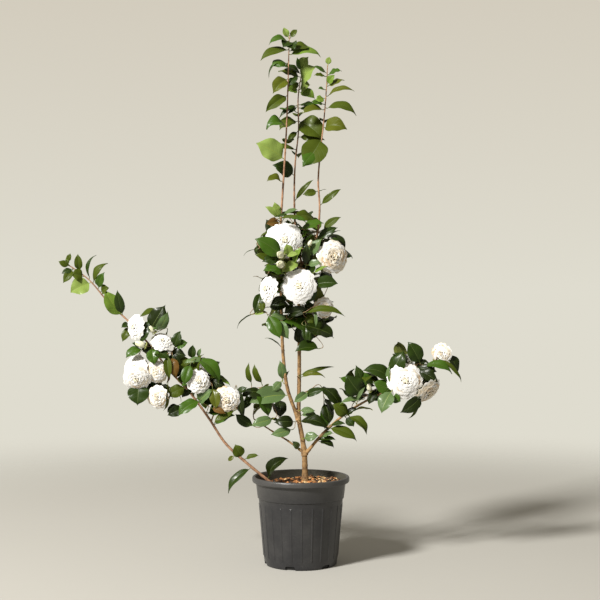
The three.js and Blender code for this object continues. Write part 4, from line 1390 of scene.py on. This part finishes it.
def bud(pile, foot, axis, size):
    """A shut bud: petals wrapped to a point, then a few green scales behind them."""
    for i in range(BUD_SCALES):
        t = i / (BUD_SCALES - 1)
        path, colour = [(0.0, 0.0), (0.72, 0.5 + 0.1 * t), (0.02 + 0.06 * t, 1.35 - 0.3 * t)], SHUT
        if t > GREEN_SCALES:
            path, colour = [(0.0, -0.02), (0.5, -0.08), (0.38, 0.2)], SEPAL
        path = [(size * out, size * up) for out, up in path]
        petal(pile, foot, axis, i * GOLDEN_TURN, path, size * 0.36, 0.5, colour, SHUT_THICK)


def bloom_finishes(shut=False):
    """Finishes in the order of WHITE to SEPAL."""
    colours = settings().bloom
    last = ("shut", colours.bud) if shut else ("aged_and_shaded", colours.aged_and_shaded)
    petals = (("white", colours.white), ("cream", colours.cream), ("ivory", colours.ivory), last)
    made = [petal_finish("Petal " + name, colour) for name, colour in petals]
    return made + [grainy_finish("Sepal", colours.sepal, 0.5, 0.7, 240.0, 0.2 * MM)]


# --------------------------------------------------------------------------------------------------
# Modelling by operators


def deselect():
    if bpy.context.object and bpy.context.object.mode != "OBJECT":
        bpy.ops.object.mode_set(mode="OBJECT")
    bpy.ops.object.select_all(action="DESELECT")


def choose(piece):
    deselect()
    piece.select_set(True)
    bpy.context.view_layer.objects.active = piece


def apply_modifier(piece, kind, **values):
    """Adds a modifier, sets it up and applies it."""
    choose(piece)
    made = piece.modifiers.new(kind.title(), kind)
    for name, value in values.items():
        setattr(made, name, value)
    bpy.ops.object.modifier_apply(modifier=made.name)


def pick_faces(piece, wanted):
    """In edit mode, selects the faces whose centres pass a test."""
    bpy.ops.mesh.select_all(action="DESELECT")
    bpy.ops.object.mode_set(mode="OBJECT")
    count = 0
    for face in piece.data.polygons:
        face.select = wanted(face.center, face.normal)
        count += face.select
    bpy.ops.object.mode_set(mode="EDIT")
    if not count:
        raise RuntimeError(f"no face of {piece.name} was found to work on")


def pull_ring(radius, height, last):
    """Extrudes the selected ring of edges to a new radius and height, and returns them."""
    bpy.ops.mesh.extrude_region_move(TRANSFORM_OT_translate={"value": (0, 0, height - last[1])})
    share = radius / last[0]
    bpy.ops.transform.resize(value=(share, share, 1), center_override=(0, 0, height))
    return radius, height


def close_ring(radius, last):
    """Closes the selected ring with a flat floor: a smaller ring, and then its centre."""
    pull_ring(radius, last[1], last)
    bpy.ops.mesh.extrude_region_move()
    bpy.ops.mesh.merge(type="CENTER")


def finish_mesh(piece, finishes, angle=35):
    """Puts a modelled piece's place in its mesh, gives it its finishes and shades it."""
    choose(piece)
    bpy.ops.object.transform_apply(location=True, rotation=True, scale=True)
    piece.data.materials.clear()
    for made in finishes:
        piece.data.materials.append(made)
    bpy.ops.object.shade_smooth_by_angle(angle=math.radians(angle))
    return settle(piece)


# --------------------------------------------------------------------------------------------------
# Pot and potting bark

POT_CORNERS = 144
COLLAR_FOOT, COLLAR_TOP = 164 * MM, 203 * MM
RIB_FOOT, RIB_TOP = 20 * MM, 150 * MM
RIB_RISE, RIB_EDGE = 1.1 * MM, 1.0 * MM
INNER_EDGE = 8 * MM     # the grimy inside begins this far in from the rim
DRAIN_WIDTH, DRAIN_HEIGHT, DRAIN_DEPTH = 24 * MM, 9 * MM, 14 * MM
DRAIN_OUT = 4 * MM      # middle of a drain's cutter, outside the foot
FIRST_DRAIN = math.radians(-107)
SOIL_EDGE = 106 * MM
SOIL_LEVEL = 194 * MM
SOIL_DEPTH = 150 * MM
SOIL_CORNERS, SOIL_RINGS = 72, 12
UNDER_CHIPS = 2 * MM    # the soil lies this far below the chips


def pot_profile():
    """Radius and height up the outside of the pot, over its rolled lip and down the inside."""
    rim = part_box("pot")[1].x
    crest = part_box("pot")[1].z
    foot, body, collar = rim - 36 * MM, rim - 16 * MM, rim - 13.5 * MM
    outside = [
        (foot + 4.6 * MM, 1.4 * MM),
        (foot + 5.5 * MM, 6 * MM),
        (foot + 7.5 * MM, RIB_FOOT),
        (body - 1.3 * MM, RIB_TOP),
        (body, 162 * MM),
        (collar - 1.2 * MM, COLLAR_FOOT - 0.6 * MM),
        (collar, COLLAR_FOOT),
        (rim - 9 * MM, COLLAR_TOP),
    ]
    lip = [
        (rim - 1.6 * MM, COLLAR_TOP - 0.4 * MM),
        (rim - 0.2 * MM, COLLAR_TOP + 1.4 * MM),
        (rim, crest - 4.5 * MM),
        (rim - 0.9 * MM, crest - 1.6 * MM),
        (rim - 3 * MM, crest - 0.2 * MM),
        (rim - 5.4 * MM, crest),
        (rim - 7.6 * MM, crest - 1.4 * MM),
        (rim - 9.4 * MM, crest - 5 * MM),
    ]
    inside = [
        (rim - 11.5 * MM, COLLAR_TOP),
        (collar - 2.4 * MM, COLLAR_FOOT + 2 * MM),
        (body - 2.4 * MM, COLLAR_FOOT - 3 * MM),
        (foot + 3 * MM, 6 * MM),
    ]
    return foot, outside + lip + inside


def make_pot():
    """The shell, pulled up ring by ring, with its ribs and its drain notches."""
    deselect()
    foot, profile = pot_profile()
    bpy.ops.mesh.primitive_circle_add(vertices=POT_CORNERS, radius=foot, location=(0, 0, 0))
    pot = bpy.context.object
    pot.name = "nursery_pot"
    bpy.ops.object.mode_set(mode="EDIT")
    last = (foot, 0.0)
    for radius, height in profile:
        last = pull_ring(radius, height, last)
    close_ring(0.3 * foot, last)
    # the underside closes from the foot inwards
    bpy.ops.mesh.select_all(action="DESELECT")
    bpy.ops.object.mode_set(mode="OBJECT")
    for corner in pot.data.vertices:
        corner.select = corner.co.z < HAIR
    bpy.ops.object.mode_set(mode="EDIT")
    bpy.ops.mesh.select_mode(type="EDGE")
    close_ring(0.5 * foot, (foot, 0.0))
    bpy.ops.mesh.select_all(action="SELECT")
    bpy.ops.mesh.remove_doubles(threshold=HAIR)
    bpy.ops.mesh.normals_make_consistent(inside=False)
    bpy.ops.mesh.select_mode(type="FACE")
    raise_ribs(pot)
    bpy.ops.object.mode_set(mode="OBJECT")
    cut_drains(pot, foot)
    edges = {"limit_method": "ANGLE", "angle_limit": math.radians(32)}
    apply_modifier(pot, "BEVEL", width=0.5 * MM, segments=2, **edges)
    inner = grainy_finish("Pot inside", settings().pot.grime, 0.75, 0.92, 60.0, 0.3 * MM)
    finish_mesh(pot, [plastic_finish(), inner])
    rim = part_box("pot")[1].x
    for face in pot.data.polygons:
        away = math.hypot(face.center.x, face.center.y)
        inward = (face.normal.x * face.center.x + face.normal.y * face.center.y) / max(away, MM)
        inside = inward < -0.5 and away < rim - INNER_EDGE
        face.material_index = int(inside and face.center.z > RIB_TOP)
    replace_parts(pot, "pot")


def raise_ribs(pot):
    """Raises a rib at every so many columns of the wall's faces."""
    step = POT_CORNERS // settings().pot.ribs

    def on_rib(centre, normal):
        column = round((math.atan2(centre.y, centre.x) / (2 * math.pi)) * POT_CORNERS - 0.5)
        outside = normal.x * centre.x + normal.y * centre.y > 0
        return outside and RIB_FOOT < centre.z < RIB_TOP and column % step == 0

    pick_faces(pot, on_rib)
    bpy.ops.mesh.inset(thickness=RIB_EDGE, depth=RIB_RISE, use_boundary=True)


def cut_drains(pot, foot):
    """Notches through the bottom corner, cut by rounded blocks."""
    deselect()
    bpy.ops.mesh.primitive_cube_add(size=1, location=(0, 0, 0))
    block = bpy.context.object
    block.scale = (DRAIN_DEPTH, DRAIN_WIDTH, DRAIN_HEIGHT * 2)
    bpy.ops.object.transform_apply(scale=True)
    apply_modifier(block, "BEVEL", width=3 * MM, segments=3, limit_method="ANGLE")
    drains = settings().pot.drains
    away = foot + DRAIN_OUT
    copies = []
    for i in range(drains):
        turn = FIRST_DRAIN + i * 2 * math.pi / drains
        copy = block.copy()
        copy.data = block.data.copy()
        copy.location = (away * math.cos(turn), away * math.sin(turn), 0)
        copy.rotation_euler = (0, 0, turn)
        bpy.context.scene.collection.objects.link(copy)
        copies.append(copy)
    bpy.data.objects.remove(block)
    deselect()
    for copy in copies:
        copy.select_set(True)
    bpy.context.view_layer.objects.active = copies[0]
    bpy.ops.object.join()
    cutter = bpy.context.object
    apply_modifier(pot, "BOOLEAN", object=cutter, operation="DIFFERENCE", solver="EXACT")
    bpy.data.objects.remove(cutter)


def mound(x, y):
    """Height of the potting bark: it rises inwards, and towards +X."""
    edge = np.hypot(x, y) / SOIL_EDGE
    uneven = 1.6 * np.sin(x / (17 * MM) + 1.3) * np.cos(y / (14 * MM) + 0.4)
    return SOIL_LEVEL + (5.5 * (1 - edge**2) + 6.0 * x / SOIL_EDGE + uneven) * MM


def make_soil():
    """The dark plug of soil under the chips."""
    deselect()
    middle = (0, 0, SOIL_LEVEL - SOIL_DEPTH / 2)
    bpy.ops.mesh.primitive_cylinder_add(
        vertices=SOIL_CORNERS, radius=SOIL_EDGE, depth=SOIL_DEPTH, location=middle
    )
    soil = bpy.context.object
    soil.name = "potting_soil"
    bpy.ops.object.transform_apply(location=True)
    bpy.ops.object.mode_set(mode="EDIT")
    pick_faces(soil, lambda centre, normal: normal.z > 0.9)
    for _ in range(SOIL_RINGS - 1):
        bpy.ops.mesh.inset(thickness=SOIL_EDGE / SOIL_RINGS)
    bpy.ops.object.mode_set(mode="OBJECT")
    for corner in soil.data.vertices:
        if corner.co.z > SOIL_LEVEL - 1 * MM:
            corner.co.z = float(mound(corner.co.x, corner.co.y)) - UNDER_CHIPS
        else:
            corner.co.x *= 0.8
            corner.co.y *= 0.8
    made = grainy_finish("Soil", settings().pot.soil, 0.7, 0.95, 420.0, 1.2 * MM)
    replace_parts(finish_mesh(soil, [made], angle=60), "soil")


CHIP_CORNERS = 7
CHIP_EDGE = 0.4 * MM    # how far past the soil's edge a chip may reach
CHIP_INSET = 5 * MM     # middles of the outermost chips, from that edge
CHIP_TINTS = ("Tan", "Orange", "Brown", "Dark")


def make_chips():
    """Chips of bark, laid from the edge of the pot to the stem."""
    draw = own_draw(1)
    pile = Pile()
    turn = np.arange(CHIP_CORNERS) * 2 * math.pi / CHIP_CORNERS
    faces = prism_faces(np.arange(3 * CHIP_CORNERS).reshape(3, CHIP_CORNERS))
    count = settings().pot.chips
    for i in range(count):
        away = (SOIL_EDGE - CHIP_INSET) * math.sqrt((i + 0.5) / count)
        where = i * GOLDEN_TURN + draw.uniform(-0.3, 0.3)
        x, y = away * math.cos(where), away * math.sin(where)
        big = draw.random() ** 2
        long, wide = (4 + 7 * big) * MM, (2.2 + 3 * big) * MM * draw.uniform(0.7, 1.2)
        thick = (1.2 + 1.6 * big) * MM
        edge = draw.uniform(0.72, 1.18, CHIP_CORNERS)
        rings = []
        for share, level in ((0.78, -1.0), (1.0, draw.uniform(-0.3, 0.3)), (0.74, 1.0)):
            out, aside = long * share * edge * np.cos(turn), wide * share * edge * np.sin(turn)
            rings.append(np.stack([out, aside, np.full(CHIP_CORNERS, thick * level)], 1))
        points = np.concatenate(rings) + draw.normal(0, 0.25 * MM, (3 * CHIP_CORNERS, 3))
        lean, roll, yaw = draw.normal(0, 0.33), draw.normal(0, 0.3), draw.uniform(0, 2 * math.pi)
        points = points @ turning(lean, roll, yaw).T
        height = float(mound(x, y)) + draw.uniform(0.0, 3.5) * MM
        points = points + (x, y, height)
        reach = np.hypot(points[:, 0], points[:, 1]).max()
        if reach > SOIL_EDGE + CHIP_EDGE:
            points[:, :2] *= (SOIL_EDGE + CHIP_EDGE) / reach
        # tan chips lie mostly towards +X
        bright = 0.5 + 0.5 * x / SOIL_EDGE
        chance = draw.random()
        kind = sum(chance >= share for share in (0.05 + 0.33 * bright**2, 0.52, 0.76))
        pile.add(points, faces, [kind, kind])
    finishes = []
    for name in CHIP_TINTS:
        colour = getattr(settings().pot, "chip_" + name.lower())
        finishes.append(grainy_finish(name + " chip", colour, 0.6, 0.9, 260.0, 0.5 * MM))
    pile.piece("bark_chips", finishes, "potting_bark", sharp=38)


def turning(x, y, z):
    """A turn about X, then Y, then Z, as a matrix."""
    cx, cy, cz = (math.cos(turn) for turn in (x, y, z))
    sx, sy, sz = (math.sin(turn) for turn in (x, y, z))
    about_x = np.array([[1, 0, 0], [0, cx, -sx], [0, sx, cx]])
    about_y = np.array([[cy, 0, sy], [0, 1, 0], [-sy, 0, cy]])
    about_z = np.array([[cz, -sz, 0], [sz, cz, 0], [0, 0, 1]])
    return about_z @ about_y @ about_x


# --------------------------------------------------------------------------------------------------
# Wood

SCAR_GAP, SHOOT_SCAR_GAP, TWIG_SCAR_GAP = 34 * MM, 26 * MM, 18 * MM
SCAR_LENGTH = 2.6 * MM
LINE_STEP = 2 * MM
LIMB_SIDES, SHOOT_SIDES, TWIG_SIDES, STALK_SIDES = 20, 12, 8, 6
COLLAR_POINTS = 14      # points of a bough's line that its thicker foot takes in
COLLAR_SWELL = 1.35     # thickness of that foot, as a share of the bough's
SHORT_LINE = 8          # a line with no more points than this keeps them all
SHOOT_END, SHOOT_END_SHARE = 1.5 * MM, 0.4      # the blunt end that a shoot is closed with
BOUGH_SLIMNESS = 0.84   # the bough's own thickness, as a share of its plain solid's
GREEN_FROM = 1.0        # twigs that start above this height are this year's
GREEN_SHARE = 0.15      # and so are so many of the rest


def scarred(line, gap, rise, draw):
    """The line with the slight swellings that old leaf scars leave."""
    line = line.copy()
    run = run_of(line[:, :3])
    at = gap * 0.5
    while at < run[-1]:
        line[:, 3] += rise * draw.uniform(0.4, 1.2) * np.exp(-(((run - at) / SCAR_LENGTH) ** 2))
        at += gap * draw.uniform(0.6, 1.5)
    return line


def finer(line):
    """A limb's line drawn again with more points, from every other one."""
    return smooth_line(line[::2] if len(line) > SHORT_LINE else line, LINE_STEP)


def make_limbs():
    """Trunk, stems and boughs: swept, melted into one at their forks, and given bark relief."""
    draw = own_draw(2)
    pile = Pile()
    for name in OLD_LIMBS:
        line = scarred(finer(plant().limbs[name]), SCAR_GAP, 0.45 * MM, draw)
        add_tube(pile, line, LIMB_SIDES, 0)
        if name != "trunk":
            collar = line[:COLLAR_POINTS].copy()
            collar[:, 3] = collar[:, 3] * np.linspace(COLLAR_SWELL, 1.0, len(collar))
            add_tube(pile, collar, LIMB_SIDES, 0)
    colours = settings().wood
    bark = bark_finish("Old bark", colours.light, colours.dark, 1.1 * MM)
    limbs = pile.piece("woody_limbs", [bark], "old_bark")
    apply_modifier(limbs, "REMESH", mode="VOXEL", voxel_size=0.8 * MM, use_smooth_shade=True)
    apply_modifier(limbs, "SMOOTH", factor=0.5, iterations=3)
    relief = bpy.data.textures.new("Bark relief", "CLOUDS")
    relief.noise_scale = 5 * MM
    relief.noise_depth = 3
    how = {"strength": 0.9 * MM, "mid_level": 0.5, "texture_coords": "LOCAL"}
    apply_modifier(limbs, "DISPLACE", texture=relief, **how)
    for face in limbs.data.polygons:
        face.use_smooth = True
    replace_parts(limbs, *OLD_LIMBS)


def make_shoots():
    """The long young shoots, finer and smoother than the old wood."""
    draw = own_draw(3)
    pile = Pile()
    for name in YOUNG_LIMBS:
        line = scarred(finer(plant().limbs[name]), SHOOT_SCAR_GAP, 0.35 * MM, draw)
        if name == "left_bough":
            line[:, 3] *= BOUGH_SLIMNESS
        tip = line[-1].copy()
        tip[:3] += unit(line[-1, :3] - line[-2, :3]) * SHOOT_END
        tip[3] *= SHOOT_END_SHARE
        add_tube(pile, np.vstack([line, tip]), SHOOT_SIDES, 0)
    colours = settings().wood
    made = bark_finish("Shoot bark", colours.shoot, colours.shoot_dark, 0.4 * MM, 1.5)
    shoots = pile.piece("young_shoots", [made], "young_bark")
    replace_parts(shoots, *YOUNG_LIMBS)


def make_twigs():
    """Every twig, thinner to its tip, and green where it is this year's."""
    draw = own_draw(4)
    pile = Pile()
    for line in plant().twigs:
        green = line[0, 2] > GREEN_FROM or draw.random() < GREEN_SHARE
        add_tube(pile, scarred(line, TWIG_SCAR_GAP, 0.3 * MM, draw), TWIG_SIDES, int(green))
    colours = settings().wood
    finishes = [
        grainy_finish("Twig bark", colours.twig, 0.6, 0.85, 380.0, 0.3 * MM),
        grainy_finish("Green twig", colours.green_twig, 0.5, 0.7, 380.0, 0.2 * MM),
    ]
    pile.piece("twigs", finishes, "young_bark", sharp=60)


def make_leaves():
    """One piece of leaves for each region, and the stalks of them all."""
    draw = own_draw(5)
    finishes = leaf_finishes()
    for region, masses in REGIONS.items():
        pile = Pile()
        for base, reach, width, look, arch, colour in plant().leaves[region]:
            leaf(pile, base, reach, width, look, arch, colour, draw)
        slot = "young_leaf" if region == "top_leaves" else "mature_leaf"
        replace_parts(pile.piece(region, finishes, slot), *masses)
    stalks = Pile()
    for line, colour in plant().stalks:
        add_tube(stalks, line, STALK_SIDES, int(colour in LIGHT_TINTS))
    stalks.piece("leaf_stalks", finishes[RIB_PALE:], "mature_leaf", sharp=60)


def make_blooms():
    """The blooms, in two pieces of like size."""
    draw = own_draw(6)
    half = len(plant().blooms) // 2
    finishes = bloom_finishes()
    halves = {"blooms_a": plant().blooms[:half], "blooms_b": plant().blooms[half:]}
    for name, rows in halves.items():
        pile = Pile()
        for row in rows:
            bloom(pile, *row, draw)
        pile.piece(name, finishes, "petal", sharp=60)


def make_buds():
    """The buds, on finishes of their own."""
    pile = Pile()
    for row in plant().buds:
        bud(pile, *row)
    pile.piece("buds", bloom_finishes(shut=True), "petal", sharp=60)


# --------------------------------------------------------------------------------------------------
# Stage

FLOOR_RADIUS = 3.2
FADE_FROM = 0.9         # where the floor begins to thin out
EYE = Vector((-0.002, -3.084, 0.675))           # where the camera stands
EYE_PITCH = math.radians(-0.46)
LENS, SENSOR = 75, 36   # millimetres
LAMP = Vector((-4.6, -5.0, 5.3))
LAMP_AIM = Vector((0, 0, 0.65))
LAMP_SIZE = 1.4
WARM_WHITE = (1.0, 0.98, 0.94)


def floor_finish():
    """Pale floor that thins out to nothing towards its edge."""
    colour = settings().stage.floor
    made, tree, shader, place = finish("Studio floor", colour, 0.85, Specular_IOR_Level=0.15)
    reach = node(tree, "VectorMath", place["Object"], operation="LENGTH")
    fade = remap(tree, reach, FADE_FROM, FLOOR_RADIUS * 0.97, 1.0, 0.0)
    set_up(shader, Alpha=set_up(fade, interpolation_type="SMOOTHERSTEP"))
    vary_roughness(tree, shader, place["Object"], 3.0, 0.8, 0.9)
    return made


def place_in_scene(name, data, where, turn):
    made = bpy.data.objects.new(name, data)
    made.location = where
    made.rotation_euler = turn
    bpy.context.scene.collection.objects.link(made)
    return made


def studio_world():
    """The backdrop, darker higher up. It lights the plant less than it shows to the camera."""
    colours = settings().stage
    world = bpy.data.worlds.new("Studio")
    world.use_nodes = True
    tree = world.node_tree
    height = node(tree, "SeparateXYZ", node(tree, "TexCoord").outputs["Generated"]).outputs["Z"]
    level = remap(tree, height, 0.0, 0.24)
    ends = {"A": (*colours.horizon, 1), "B": (*colours.above, 1)}
    seen = node(tree, "LightPath").outputs["Is Camera Ray"]
    set_up(
        tree.nodes["Background"],
        Color=node(tree, "Mix", data_type="RGBA", Factor=level, **ends),
        Strength=remap(tree, seen, to_low=0.6),
    )
    return world


def make_stage():
    """Floor, light, camera and backdrop."""
    deselect()
    bpy.ops.mesh.primitive_circle_add(
        vertices=128, radius=FLOOR_RADIUS, fill_type="NGON", location=(0, 0, 0)
    )
    floor = bpy.context.object
    floor.name = "studio_floor"
    floor.data.materials.append(floor_finish())

    key = bpy.data.lights.new("Key light", "AREA")
    key.energy = settings().stage.key_power
    key.size = LAMP_SIZE
    key.color = WARM_WHITE
    place_in_scene("Key light", key, LAMP, (LAMP_AIM - LAMP).to_track_quat("-Z", "Y").to_euler())

    lens = bpy.data.cameras.new("Camera")
    lens.lens, lens.sensor_width = LENS, SENSOR
    scene = bpy.context.scene
    scene.camera = place_in_scene("Camera", lens, EYE, (math.pi / 2 + EYE_PITCH, 0, 0))
    scene.world = studio_world()
    scene.view_settings.view_transform = "Standard"


# --------------------------------------------------------------------------------------------------
# Add-on classes


class CamelliaSettings(bpy.types.PropertyGroup):
    leaf: PointerProperty(type=LeafSettings, name="Leaves", description="Their sizes and tints")
    bloom: PointerProperty(type=BloomSettings, name="Blooms", description="Petals, sepals and buds")
    wood: PointerProperty(type=WoodSettings, name="Wood", description="Bark and twigs")
    pot: PointerProperty(type=PotSettings, name="Pot", description="Pot, soil and chips")
    stage: PointerProperty(type=StageSettings, name="Stage", description="Floor, backdrop, light")


class CAMELLIA_OT_limbs(bpy.types.Operator):
    """Make the trunk, stems and boughs with the bark's relief"""

    bl_idname = "camellia.limbs"
    bl_label = "Trunk and boughs"

    def execute(self, context):
        make_limbs()
        return {"FINISHED"}


class CAMELLIA_OT_shoots(bpy.types.Operator):
    """Make the long young shoots"""

    bl_idname = "camellia.shoots"
    bl_label = "Young shoots"

    def execute(self, context):
        make_shoots()
        return {"FINISHED"}


class CAMELLIA_OT_twigs(bpy.types.Operator):
    """Make the twigs that carry leaves, blooms and buds"""

    bl_idname = "camellia.twigs"
    bl_label = "Twigs"

    def execute(self, context):
        make_twigs()
        return {"FINISHED"}


class CAMELLIA_OT_leaves(bpy.types.Operator):
    """Make the leaves of every region, and their stalks"""

    bl_idname = "camellia.leaves"
    bl_label = "Leaves"

    def execute(self, context):
        make_leaves()
        return {"FINISHED"}


class CAMELLIA_OT_blooms(bpy.types.Operator):
    """Make the open blooms"""

    bl_idname = "camellia.blooms"
    bl_label = "Blooms"

    def execute(self, context):
        make_blooms()
        return {"FINISHED"}


class CAMELLIA_OT_buds(bpy.types.Operator):
    """Make the shut buds"""

    bl_idname = "camellia.buds"
    bl_label = "Buds"

    def execute(self, context):
        make_buds()
        return {"FINISHED"}


class CAMELLIA_OT_pot(bpy.types.Operator):
    """Make the ribbed nursery pot"""

    bl_idname = "camellia.pot"
    bl_label = "Pot"

    def execute(self, context):
        make_pot()
        return {"FINISHED"}


class CAMELLIA_OT_soil(bpy.types.Operator):
    """Make the soil and the chips of bark on it"""

    bl_idname = "camellia.soil"
    bl_label = "Soil and chips"

    def execute(self, context):
        make_soil()
        make_chips()
        return {"FINISHED"}


class CAMELLIA_OT_stage(bpy.types.Operator):
    """Set up the floor, light, backdrop and camera"""

    bl_idname = "camellia.stage"
    bl_label = "Stage"

    def execute(self, context):
        make_stage()
        return {"FINISHED"}


STEPS = (
    CAMELLIA_OT_stage,
    CAMELLIA_OT_pot,
    CAMELLIA_OT_soil,
    CAMELLIA_OT_limbs,
    CAMELLIA_OT_shoots,
    CAMELLIA_OT_twigs,
    CAMELLIA_OT_leaves,
    CAMELLIA_OT_blooms,
    CAMELLIA_OT_buds,
)


class CAMELLIA_PT_panel(bpy.types.Panel):
    """Lists the steps that make the camellia"""

    bl_idname = "CAMELLIA_PT_panel"
    bl_label = "Camellia"
    bl_space_type = "VIEW_3D"
    bl_region_type = "UI"
    bl_category = "Camellia"

    def draw(self, context):
        for step in STEPS:
            self.layout.operator(step.bl_idname)


CLASSES = (
    LeafSettings,
    BloomSettings,
    WoodSettings,
    PotSettings,
    StageSettings,
    CamelliaSettings,
    *STEPS,
    CAMELLIA_PT_panel,
)


def register():
    for each in CLASSES:
        bpy.utils.register_class(each)
    bpy.types.Scene.camellia = PointerProperty(type=CamelliaSettings)


def unregister():
    del bpy.types.Scene.camellia
    for each in reversed(CLASSES):
        bpy.utils.unregister_class(each)


def main():
    register()
    for step in STEPS:
        group_name, step_name = step.bl_idname.split(".")
        getattr(getattr(bpy.ops, group_name), step_name)()


if __name__ == "__main__":
    main()
